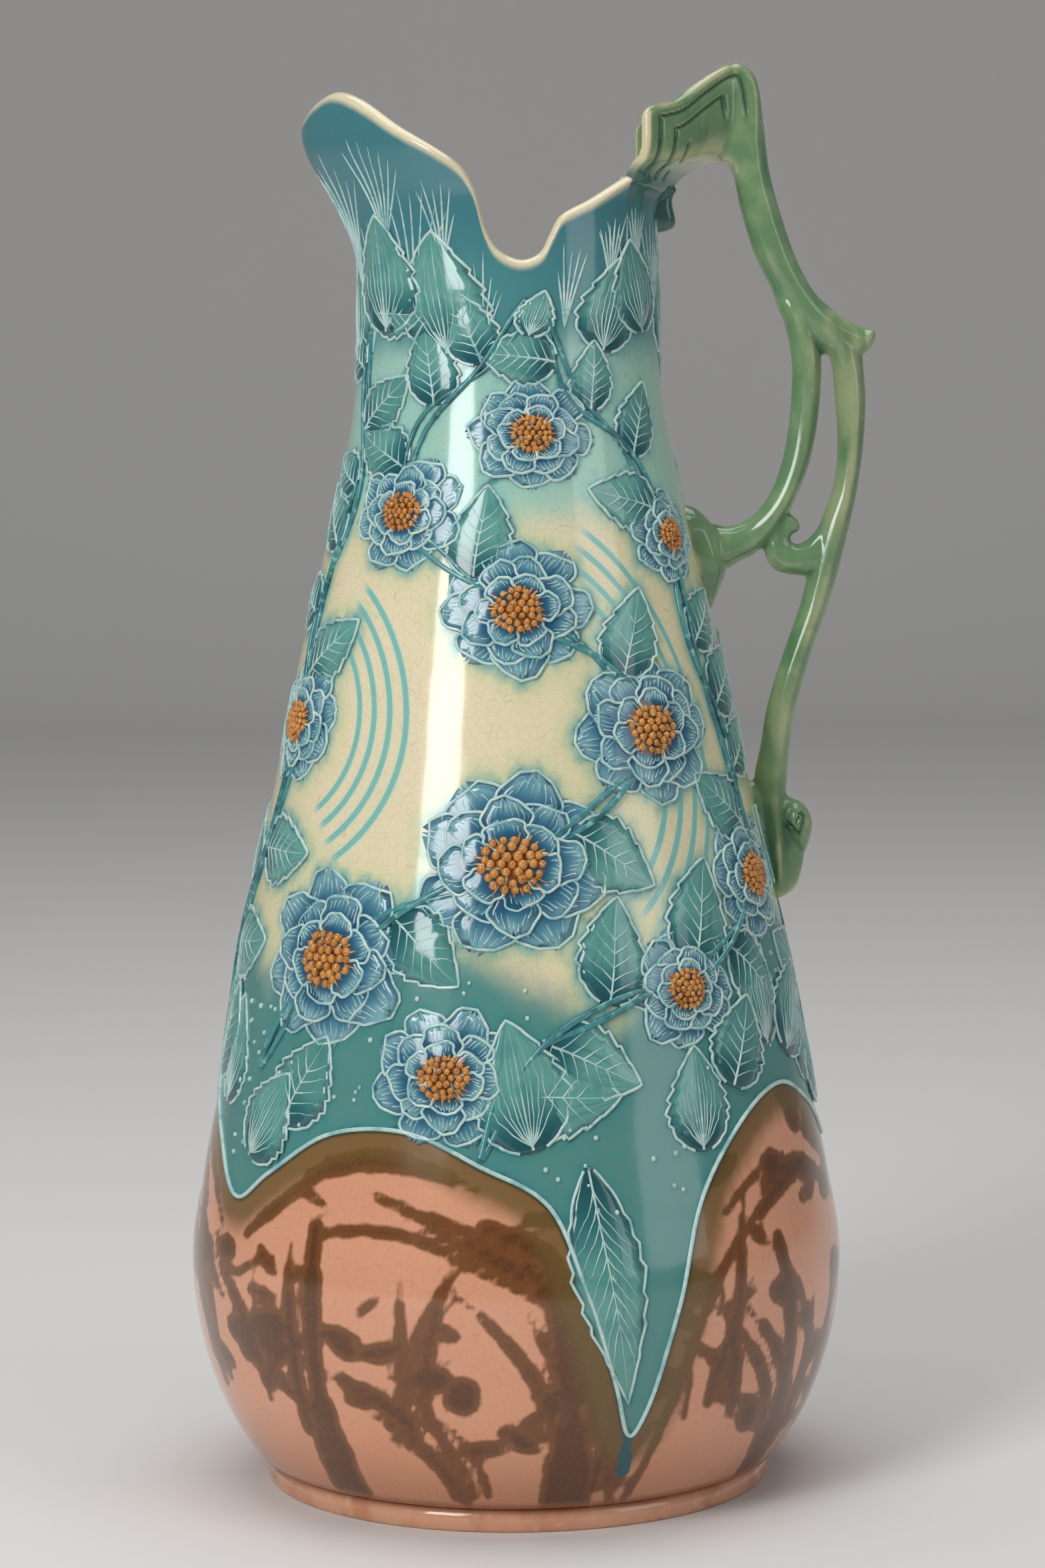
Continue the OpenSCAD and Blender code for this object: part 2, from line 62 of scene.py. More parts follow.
def linear(colour: str) -> tuple[float, float, float, float]:
    """Turns a colour written as sRGB hex into linear values.

    Args:
        colour: six hex digits after a hash.

    Returns:
        Red, green, blue and an alpha of 1, linear.
    """
    parts = [int(colour[i : i + 2], 16) / 255 for i in (1, 3, 5)]
    return (*[c / 12.92 if c <= 0.04045 else ((c + 0.055) / 1.055) ** 2.4 for c in parts], 1.0)


def hermite(t: Grid, start: Grid, rise: Grid, end: Grid, last_rise: Grid) -> Grid:
    """Joins two values by a cubic.

    Args:
        t: the share of the way, from 0 to 1.
        start: the value at 0.
        rise: the slope at 0.
        end: the value at 1.
        last_rise: the slope at 1.

    Returns:
        The value at t.
    """
    return (
        (2 * t**3 - 3 * t**2 + 1) * start
        + (t**3 - 2 * t**2 + t) * rise
        + (3 * t**2 - 2 * t**3) * end
        + (t**3 - t**2) * last_rise
    )


def smooth_rows(rows: Rows, cuts: int) -> Grid:
    """Draws a smooth curve through rows of numbers, as the CAD source does.

    Args:
        rows: the numbers to pass through, one row per knot.
        cuts: how many steps lie between two knots.

    Returns:
        The denser rows.
    """
    knots = np.asarray(rows, float)
    last = len(knots) - 1
    at = np.linspace(0, last, last * cuts + 1)
    i = np.minimum(at.astype(int), last - 1)
    low, high = np.maximum(np.arange(last + 1) - 1, 0), np.minimum(np.arange(last + 1) + 1, last)
    slope = (knots[high] - knots[low]) / (high - low)[:, None]
    return hermite((at - i)[:, None], knots[i], slope[i], knots[i + 1], slope[i + 1])


def level_curve(rows: Rows, x: Grid) -> Grid:
    """Reads a smooth height curve that is level at both ends.

    Args:
        rows: [x, y] knots in rising x.
        x: where to read it.

    Returns:
        The curve's y at each x.
    """
    knots = np.asarray(rows, float)
    slope = np.zeros(len(knots))
    slope[1:-1] = (knots[2:, 1] - knots[:-2, 1]) / (knots[2:, 0] - knots[:-2, 0])
    x = np.clip(np.asarray(x, float), knots[0, 0], knots[-1, 0])
    i = np.clip(np.searchsorted(knots[:, 0], x, side="right") - 1, 0, len(knots) - 2)
    width = knots[i + 1, 0] - knots[i, 0]
    t = (x - knots[i, 0]) / width
    return hermite(t, knots[i, 1], width * slope[i], knots[i + 1, 1], width * slope[i + 1])


def wrapped(angle: Grid) -> Grid:
    """Brings angles in degrees between -180 and 180."""
    return (np.asarray(angle, float) + 180) % 360 - 180


def ease(t: Grid) -> Grid:
    """Rises smoothly from 0 to 1 while t does."""
    s = np.clip(t, 0, 1)
    return s * s * (3 - 2 * s)


def mix(a: Grid, b: Grid, t: Grid) -> Grid:
    """Goes from a to b as t goes from 0 to 1."""
    return a + (b - a) * t


@dataclass(frozen=True)
class JugForm:
    """The jug's main surfaces in millimetres, from the same values as the CAD source.

    A turn is the angle round the axis from the spout; a phi is the angle from the side that
    the camera sees, positive towards the handle. The shoulder's knots are shares of the way up
    and of the way out; those of rim and crest top are angles or shares of the crest's angle,
    with shares of the height; those of the crest's face are shares of the way out and up.
    """

    belly_z: float = 61.0
    belly_r: float = 88.0
    body_wall: float = 5.0
    floor_z: float = 13.0
    foot_r: float = 68.4
    foot_h: float = 6.0
    foot_step: float = 1.08
    waist_z: float = 313.0
    waist_r: float = 39.8
    neck_z: float = 300.0
    neck_wall: float = 4.0
    spout_h: float = 58.5
    spout_flare: float = 13.2
    crest_h: float = 67.0
    crest_flare: float = 27.7
    crest_angle: float = 39.0
    nose_t: float = 5.0
    tail_z: float = 156.4
    handle_reach: float = 58.5
    limb_depth: float = 10.4
    shoulder: tuple = (
        (0, 1), (0.092, 0.929), (0.2, 0.817), (0.344, 0.689), (0.489, 0.523),
        (0.629, 0.367), (0.773, 0.183), (0.877, 0.062), (0.947, 0.0124), (1, 0),
    )  # fmt: skip
    rim: tuple = (
        (0, 0.87), (7, 0.925), (14, 0.975), (23, 1), (35, 0.95), (50, 0.835), (64, 0.735),
        (73, 0.65), (78, 0.54), (81, 0.4), (86, 0.29), (95, 0.239), (103, 0.27),
        (107.5, 0.36), (112, 0.437), (125, 0.51), (141, 0.61),
    )  # fmt: skip
    crest_top_rows: tuple = (
        (0, 1), (0.14, 0.99), (0.367, 0.914), (0.6, 0.84), (0.79, 0.815), (0.95, 0.8), (1, 0.775),
    )  # fmt: skip
    crest_face: tuple = (
        (0, 0), (0.11, 0.1), (0.24, 0.17), (0.38, 0.22), (0.53, 0.25), (0.68, 0.29),
        (0.84, 0.38), (0.94, 0.48), (0.99, 0.62), (1, 0.78), (1, 1),
    )  # fmt: skip

    @property
    def handle_h(self) -> float:
        """Height of the whole handle."""
        return self.waist_z + self.crest_h - self.tail_z

    @property
    def root_z(self) -> float:
        """Height of the joint under the crest at its middle."""
        return self.waist_z + 0.5 * self.crest_h

    def body_r(self, z: Grid) -> Grid:
        """Outer radius of the plain round body at each height.

        Args:
            z: heights in millimetres.

        Returns:
            The radii in millimetres.
        """
        z = np.asarray(z, float)
        bowl_b = 1.115 * self.belly_z
        foot_share = math.sqrt(1 - ((self.belly_z - self.foot_h) / bowl_b) ** 2)
        bowl_a = (self.belly_r - self.foot_r - self.foot_step) / (1 - foot_share)
        drop = np.clip((self.belly_z - z) / bowl_b, 0, 1)
        bowl = self.belly_r - bowl_a + bowl_a * np.sqrt(1 - drop**2)
        share = level_curve(self.shoulder, (z - self.belly_z) / (self.waist_z - self.belly_z))
        return np.where(z < self.belly_z, bowl, mix(self.waist_r, self.belly_r, share))

    def crest_out(self, turn: Grid) -> Grid:
        """How far the crest's lobe stands out at each turn."""
        return self.crest_flare / (1 + (np.abs(180 - turn) / 16) ** 1.1)

    def outer_r(self, turn: Grid, z: Grid) -> Grid:
        """Outer radius of body and neck at each turn and height.

        Args:
            turn: angles round the axis, in degrees.
            z: heights in millimetres.

        Returns:
            The radii in millimetres.
        """
        turn = np.abs(wrapped(turn))
        z = np.asarray(z, float)
        up = z - self.waist_z
        spout = self.spout_flare / (1 + (turn / 26) ** 1.7)
        spout = spout * ease((up / self.spout_h - 0.2) / 0.67)
        crest = self.crest_out(turn) * ease((up / self.crest_h - 0.345) / 0.335) ** 2.2
        return self.body_r(np.minimum(z, self.waist_z)) + spout + crest

    def wall(self, turn: Grid, z: Grid) -> Grid:
        """Thickness of the wall along the radius, more where the wall runs aslant.

        Args:
            turn: angles round the axis, in degrees.
            z: heights in millimetres.

        Returns:
            The thicknesses in millimetres.
        """
        r = self.outer_r(turn, z)
        round_slope = (self.outer_r(turn + 1, z) - self.outer_r(turn - 1, z)) / (math.radians(2) * r)
        up_slope = (self.outer_r(turn, z + 1) - self.outer_r(turn, z - 1)) / 2
        up = ease((z - self.neck_z) / (self.waist_z - self.neck_z))
        plain = mix(self.body_wall, self.neck_wall, up)
        return plain * np.minimum(np.sqrt(1 + round_slope**2 + up_slope**2), 1.6)

    def rim_z(self, turn: Grid) -> Grid:
        """Height of the neck's top edge at each turn, under the crest too.

        Args:
            turn: angles round the axis, in degrees.

        Returns:
            The heights in millimetres.
        """
        turn = np.abs(wrapped(turn))
        rows = smooth_rows(self.rim, 12)
        free = self.waist_z + np.interp(turn, rows[:, 0], rows[:, 1]) * self.spout_h
        return np.where(turn > 180 - self.crest_angle, self.seam_z(180 - turn), free)

    def seam_z(self, angle: Grid) -> Grid:
        """Height of the joint under the crest, at an angle from the crest's middle.

        Args:
            angle: angles in degrees.

        Returns:
            The heights in millimetres.
        """
        corner = self.waist_z + self.rim[-1][1] * self.spout_h
        share = np.minimum(np.abs(angle) / self.crest_angle, 1)
        return mix(self.root_z, corner, share**1.6)

    def crest_top(self, angle: Grid) -> Grid:
        """Height of the crest's top edge, at an angle from the crest's middle."""
        share = np.abs(angle) / self.crest_angle
        return self.waist_z + self.crest_h * level_curve(self.crest_top_rows, share)

    def place(self, stand: float, rise: float) -> tuple[float, float]:
        """A point of the handle, from its shares of the reach and of the height.

        Args:
            stand: its share of the reach.
            rise: its share of the height.

        Returns:
            Its x and z in millimetres.
        """
        z = self.tail_z + rise * self.handle_h
        return float(self.body_r(min(z, self.waist_z))) + stand * self.handle_reach, z

    def on_wall(self, phi: Grid, z: Grid, lift: Grid) -> Grid:
        """Points that stand off the outer wall by a lift along its normal.

        Args:
            phi: angles from the camera's side, in degrees.
            z: heights in millimetres.
            lift: distances from the wall in millimetres.

        Returns:
            One row of x, y, z in millimetres for each point.
        """
        phi, z, lift = np.broadcast_arrays(*[np.asarray(v, float) for v in (phi, z, lift)])
        turn = phi + 90
        r = self.outer_r(turn, z)
        up = self.outer_r(turn, z + 0.5) - self.outer_r(turn, z - 0.5)
        side = (self.outer_r(turn + 0.5, z) - self.outer_r(turn - 0.5, z)) / (math.radians(1) * r)
        a = np.radians(phi)
        out = np.stack([np.sin(a), -np.cos(a), np.zeros_like(a)], -1)
        along = np.stack([np.cos(a), np.sin(a), np.zeros_like(a)], -1)
        normal = out - side[..., None] * along - up[..., None] * np.array([0.0, 0.0, 1.0])
        normal /= np.linalg.norm(normal, axis=-1, keepdims=True)
        return out * r[..., None] + np.array([0, 0, 1.0]) * z[..., None] + normal * lift[..., None]


FORM = JugForm()


@dataclass(frozen=True)
class Layer:
    """One colour laid over those below it, as far as its share and its masks let it.

    A mask is a value with the level where it hides the colour and the level where it shows it,
    or a value alone, which counts as it is.
    """

    colour: str | NodeSocket
    share: float
    mask: tuple
    second: tuple = ()


class Board:
    """The node tree of one material, with the place on the piece at hand."""

    def __init__(self, name: str) -> None:
        """Makes an empty material of that name."""
        self.material = bpy.data.materials.new(name)
        self.material.use_nodes = True
        self.tree = self.material.node_tree
        self.tree.nodes.clear()
        self.place = self.add("ShaderNodeTexCoord").outputs["Object"]

    def add(self, kind: str, settings: dict | None = None, inputs: dict | None = None) -> Node:
        """Adds a node with its settings and links.

        Args:
            kind: the node's type name.
            settings: properties to set on it.
            inputs: socket names or numbers, each with a value or with a socket to link.

        Returns:
            The new node.
        """
        node = self.tree.nodes.new(kind)
        for key, value in (settings or {}).items():
            setattr(node, key, value)
        for key, value in (inputs or {}).items():
            if isinstance(value, NodeSocket):
                self.tree.links.new(value, node.inputs[key])
            else:
                node.inputs[key].default_value = value
        return node

    def stack(self, ground: str, layers: Sequence[Layer]) -> NodeSocket:
        """Lays colours over a ground colour, each through its own masks.

        Args:
            ground: the lowest colour, as hex.
            layers: the colours over it, from the lowest up.

        Returns:
            The socket that carries the finished colour.
        """
        colour = linear(ground)
        for layer in layers:
            shown: NodeSocket | float = layer.share
            for value, *levels in filter(None, (layer.mask, layer.second)):
                if levels:
                    falls = levels[0] > levels[1]
                    reach = {"From Min": min(levels), "From Max": max(levels), "To Min": float(falls)}
                    value = self.add(
                        "ShaderNodeMapRange",
                        {"interpolation_type": "SMOOTHSTEP"},
                        {"Value": value, "To Max": float(not falls)} | reach,
                    ).outputs[0]
                node = self.add("ShaderNodeMath", {"operation": "MULTIPLY"}, {0: value, 1: shown})
                shown = node.outputs[0]
            over = linear(layer.colour) if isinstance(layer.colour, str) else layer.colour
            node = self.add("ShaderNodeMix", {"data_type": "RGBA"}, {0: shown, 6: colour, 7: over})
            colour = node.outputs[2]
        return colour


@dataclass(frozen=True)
class Glaze:
    """Glossy lead glaze on earthenware: clear, thick, a little wavy, pooled in the hollows."""

    roughness: float = 0.13
    ior: float = 1.52
    coat: float = 0.35
    coat_roughness: float = 0.05
    wave_mm: float = 9.0
    wave_height: float = 0.10

    def finish(self, board: Board, colour: NodeSocket) -> Material:
        """Adds the shader with its gloss and its waviness to a colour.

        Args:
            board: the tree to finish.
            colour: the socket with the glaze's colour.

        Returns:
            The finished material.
        """
        wave = board.add(
            "ShaderNodeTexNoise",
            None,
            {"Vector": board.place, "Scale": 1 / (self.wave_mm * MM), "Detail": 1.5},
        )
        bump = board.add(
            "ShaderNodeBump",
            None,
            {"Height": wave.outputs[0], "Strength": self.wave_height, "Distance": MM},
        )
        shader = board.add(
            "ShaderNodeBsdfPrincipled",
            None,
            {
                "Base Color": colour,
                "Roughness": self.roughness,
                "IOR": self.ior,
                "Coat Weight": self.coat,
                "Coat Roughness": self.coat_roughness,
                "Normal": bump.outputs[0],
            },
        )
        board.add("ShaderNodeOutputMaterial", None, {"Surface": shader.outputs[0]})
        return board.material


def in_scene(name: str, data: bpy.types.ID) -> Object:
    """Makes an object and links it to the scene.

    Args:
        name: its name.
        data: the mesh, curve, lamp or camera.

    Returns:
        The new object.
    """
    made = bpy.data.objects.new(name, data)
    bpy.context.scene.collection.objects.link(made)
    return made


def evaluated(carrier: Object) -> Mesh:
    """Takes the mesh that an object's modifiers or bevel give, and removes the object.

    Args:
        carrier: the object, which is used up.

    Returns:
        The finished mesh.
    """
    bpy.context.view_layer.update()
    graph = bpy.context.evaluated_depsgraph_get()
    mesh = bpy.data.meshes.new_from_object(carrier.evaluated_get(graph))
    bpy.data.objects.remove(carrier)
    return mesh


def new_piece(name: str, mesh: Mesh, material: Material) -> Object:
    """Makes a smooth-shaded object from a mesh.

    Args:
        name: the piece's name.
        mesh: its shape, in metres.
        material: its material.

    Returns:
        The new object, linked to the scene.
    """
    mesh.name = name
    mesh.polygons.foreach_set("use_smooth", [True] * len(mesh.polygons))
    mesh.materials.clear()
    mesh.materials.append(material)
    return in_scene(name, mesh)


def meshed(name: str, bm: BMesh) -> Mesh:
    """Turns a bmesh into a mesh and frees it.

    Args:
        name: the mesh's name.
        bm: its shape.

    Returns:
        The mesh.
    """
    mesh = bpy.data.meshes.new(name)
    bm.to_mesh(mesh)
    bm.free()
    return mesh


def move(mesh: Mesh, places: Grid) -> None:
    """Puts a mesh's vertices at rows of x, y, z in millimetres."""
    mesh.vertices.foreach_set("co", (places * MM).astype(np.float32).ravel())
    mesh.update()


def outward(piece: Object) -> Object:
    """Turns a piece's faces outwards, with doubled vertices merged first.

    Args:
        piece: the piece to mend.

    Returns:
        The same piece.
    """
    bm = bmesh.new()
    bm.from_mesh(piece.data)
    bmesh.ops.remove_doubles(bm, verts=bm.verts, dist=1e-7)
    bmesh.ops.recalc_face_normals(bm, faces=bm.faces)
    bm.to_mesh(piece.data)
    bm.free()
    return piece


def settle(piece: Object, nodes: Sequence[str] = ()) -> None:
    """Rides a piece on the jug, hides the CAD nodes that it replaces and logs its faces.

    Args:
        piece: the finished piece.
        nodes: the CAD nodes that it replaces.
    """
    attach(piece, "root")
    if nodes:
        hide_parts(*nodes)
    LOG.info("%s: %d faces", piece.name, len(piece.data.polygons))


def write_values(mesh: Mesh, name: str, values: Grid) -> None:
    """Stores one number per vertex for the material to read."""
    mesh.attributes.new(name, "FLOAT", "POINT").data.foreach_set("value", np.asarray(values, np.float32))


def read_rows(items: bpy.types.bpy_prop_collection, name: str) -> Grid:
    """Reads x, y, z of each vertex or each vertex normal, one row per item.

    Args:
        items: the vertices or their normals.
        name: what to read of each, co or vector.

    Returns:
        The rows.
    """
    flat = np.empty(len(items) * 3, np.float32)
    items.foreach_get(name, flat)
    return flat.reshape(-1, 3).astype(float)


def applied(mesh: Mesh, kind: str, settings: dict) -> Mesh:
    """Runs one modifier over a mesh.

    Args:
        mesh: the mesh to shape, which is used up.
        kind: the modifier's type name.
        settings: properties to set on it.

    Returns:
        The shaped mesh.
    """
    carrier = in_scene(mesh.name, mesh)
    modifier = carrier.modifiers.new(kind.lower(), kind)
    for key, value in settings.items():
        setattr(modifier, key, value)
    return evaluated(carrier)


def copies(bm: BMesh, count: int) -> Mesh:
    """Repeats a small shape in place, one copy after the other.

    Args:
        bm: the shape, which is freed.
        count: how many there are to be.

    Returns:
        A mesh with all copies, whose vertices follow each other copy by copy.
    """
    settings = {"count": count, "use_relative_offset": False, "use_constant_offset": True}
    settings["constant_offset_displace"] = (0.0, 0.0, 0.0)
    return applied(meshed("template", bm), "ARRAY", settings)


@dataclass
class BeadWork:
    """Raised slip lines: rounded threads of clay that run over the wall."""

    name: str
    bevels: int = 1
    paths: list[Grid] = field(default_factory=list)
    radii: list[Grid] = field(default_factory=list)

    def trail(self, phi: Grid, z: Grid, radius: Grid, lift: Grid = 0.0) -> None:
        """Lays one thread on the wall.

        Args:
            phi: the angles of its points, in degrees.
            z: their heights in millimetres.
            radius: the thread's half thickness at each point, in millimetres.
            lift: how far its middle stands off the wall.
        """
        phi, z, radius, lift = np.broadcast_arrays(
            *[np.asarray(v, float) for v in (phi, z, radius, lift)]
        )
        self.paths.append(FORM.on_wall(phi, z, lift))
        self.radii.append(radius)

    def build(self, material: Material) -> Object:
        """Makes all the threads one mesh.

        Args:
            material: its material.

        Returns:
            The finished piece.
        """
        curve = bpy.data.curves.new(self.name, "CURVE")
        curve.dimensions = "3D"
        curve.bevel_depth = MM
        curve.bevel_resolution = self.bevels
        curve.use_fill_caps = True
        for path, radii in zip(self.paths, self.radii, strict=True):
            spline = curve.splines.new("POLY")
            spline.points.add(len(path) - 1)
            spline.points.foreach_set("co", np.c_[path * MM, np.ones(len(path))].ravel())
            spline.points.foreach_set("radius", np.ascontiguousarray(radii))
        mesh = evaluated(in_scene(self.name + "_path", curve))
        bpy.data.curves.remove(curve)
        return new_piece(self.name, mesh, material)


class Outline(Enum):
    """Outlines of petals and leaves: where they are widest, and how blunt they are."""

    PETAL = (1.5, 0.42)
    DISC = (1.0, 0.5)
    OVATE = (0.66, 0.8)
    LANCE = (0.78, 1.0)

    def width(self, u: Grid) -> Grid:
        """Half the width as a share of its largest, at each share of the length."""
        place, blunt = self.value
        return np.clip(np.sin(math.pi * np.clip(u, 0, 1) ** place), 0, 1) ** blunt


class Veins(Enum):
    """How a leaf's veins run: from the midrib like a feather's, or from the base like a fan's."""

    FEATHER = 1
    FAN = 2


@dataclass(frozen=True)
class Blade:
    """One petal or leaf, laid out flat in millimetres before it goes onto the wall.

    Bend and squash are shares of its length and height, ruffle is the wave of its edge, and tone
    is a number from 0 to 1 that gives each blade its own shade.
    """

    phi: float
    z: float
    heading: float
    length: float
    width: float
    outline: Outline
    lift: float = 0.3
    dome: float = 0.6
    bend: float = 0.0
    start: float = 0.0
    squash: float = 1.0
    teeth: int = 0
    ruffle: float = 0.0
    tone: float = 0.0

    def spots(self, u: Grid, v: Grid) -> tuple[Grid, Grid]:
        """Finds points of the blade on the jug.

        Args:
            u: shares of the length, from base to tip.
            v: shares of the half width, from -1 to 1.

        Returns:
            The angle and the height of each point.
        """
        u, v = np.asarray(u, float), np.asarray(v, float)
        half = 0.5 * self.width * self.outline.width(u)
        if self.teeth:
            half = half * (1 + 0.2 * (1 - (u * self.teeth) % 1.0) * np.sin(math.pi * u))
        half = half * (1 + self.ruffle * np.sin(math.pi * (5 * u + 2 * self.tone)))
        side = half * v + self.bend * self.length * np.sin(0.5 * math.pi * u) ** 2
        wave = np.cos(math.pi * (2.6 * v + 2 * self.tone))
        ahead = self.start + self.length * (u + 0.8 * self.ruffle * u**3 * wave)
        a = math.radians(self.heading)
        x = ahead * math.cos(a) - side * math.sin(a)
        z = self.z + self.squash * (ahead * math.sin(a) + side * math.cos(a))
        return self.phi + np.degrees(x / FORM.outer_r(self.phi + 90, z)), z

    def height(self, u: Grid, v: Grid) -> Grid:
        """How far the blade's face stands off the wall at each point."""
        hump = np.sin(math.pi * np.clip(u, 0.03, 1) ** 0.8)
        return self.lift + self.dome * (1 - np.asarray(v) ** 2) * hump

    def edge(self, steps: int) -> tuple[Grid, Grid, Grid]:
        """Runs round the blade's edge, from its base over the tip and back.

        Args:
            steps: points on each side.

        Returns:
            Angles, heights and lifts.
        """
        u = np.linspace(0.02, 1.0, steps)
        u = np.r_[u, u[-2::-1]]
        v = np.r_[np.ones(steps), -np.ones(steps - 1)]
        phi, z = self.spots(u, v)
        return phi, z, self.height(u, v)


@dataclass
class BladeWork:
    """Petals or leaves pressed onto the wall as one piece."""

    name: str
    long_cuts: int = 10
    wide_cuts: int = 6
    blades: list[Blade] = field(default_factory=list)

    def build(self, material: Material) -> Object:
        """Makes each blade a domed sheet with its edge turned down into the wall.

        Args:
            material: its material.

        Returns:
            The finished piece.
        """
        bm = bmesh.new()
        bmesh.ops.create_grid(bm, x_segments=self.long_cuts, y_segments=self.wide_cuts, size=1.0)
        skirt = bm.verts.layers.float.new("skirt")
        rim = [e for e in bm.edges if e.is_boundary]
        for part in bmesh.ops.extrude_edge_only(bm, edges=rim)["geom"]:
            if isinstance(part, BMVert):
                part[skirt] = 1.0
        bm.verts.index_update()
        flat = np.array([(*v.co[:2], v[skirt]) for v in bm.verts])
        mesh = copies(bm, len(self.blades))
        u, v, low = 0.006 + 0.988 * (0.5 + 0.5 * flat[:, 0]), flat[:, 1], flat[:, 2]
        places = []
        for blade in self.blades:
            phi, z = blade.spots(u, v)
            places.append(FORM.on_wall(phi, z, np.where(low > 0, -0.5, blade.height(u, v))))
        move(mesh, np.concatenate(places))
        write_values(mesh, "along", np.tile(u, len(self.blades)))
        write_values(mesh, "across", np.tile(v, len(self.blades)))
        write_values(mesh, "tone", np.repeat([blade.tone for blade in self.blades], len(u)))
        return outward(new_piece(self.name, mesh, material))


@dataclass
class StudWork:
    """Small round knobs of clay: stamens, seeds and dew drops."""

    name: str
    columns: int = 8
    rows: int = 5
    knobs: list[tuple[Grid, float]] = field(default_factory=list)

    def knob(self, phi: float, z: float, lift: float, radius: float) -> None:
        """Sets one knob on the wall, with its middle at that lift."""
        self.knobs.append((FORM.on_wall(phi, z, lift), radius))

    def build(self, material: Material) -> Object:
        """Makes all the knobs one mesh.

        Args:
            material: its material.

        Returns:
            The finished piece.
        """
        bm = bmesh.new()
        bmesh.ops.create_uvsphere(bm, u_segments=self.columns, v_segments=self.rows, radius=1.0)
        ball = np.array([v.co[:] for v in bm.verts])
        mesh = copies(bm, len(self.knobs))
        places = np.concatenate([place + ball * radius for place, radius in self.knobs])
        move(mesh, places)
        return outward(new_piece(self.name, mesh, material))


@dataclass(frozen=True)
class Bloom:
    """One open flower: its middle on the wall, its radius and the turn of its petals."""

    phi: float
    z: float
    radius: float
    turn: float = 0.0

    def away(self, phi: float, z: float) -> float:
        """Distance along the wall from the flower's middle, in millimetres."""
        side = float(wrapped(phi - self.phi)) * math.pi / 180
        return math.hypot(side * float(FORM.body_r(min(z, FORM.waist_z))), z - self.z)


FRONT_BLOOMS = (
    Bloom(-40, 148, 25, 10), Bloom(0, 173, 26, 30), Bloom(36, 206, 22, 5), Bloom(2, 237, 20, 50),
    Bloom(-35, 262, 17, 20), Bloom(8, 282, 16.4, 0), Bloom(64, 166, 19, 40), Bloom(-66, 207, 18, 15),
    Bloom(57, 255, 14, 33), Bloom(-13, 120, 20, 25), Bloom(36, 140, 17, 0),
)  # fmt: skip


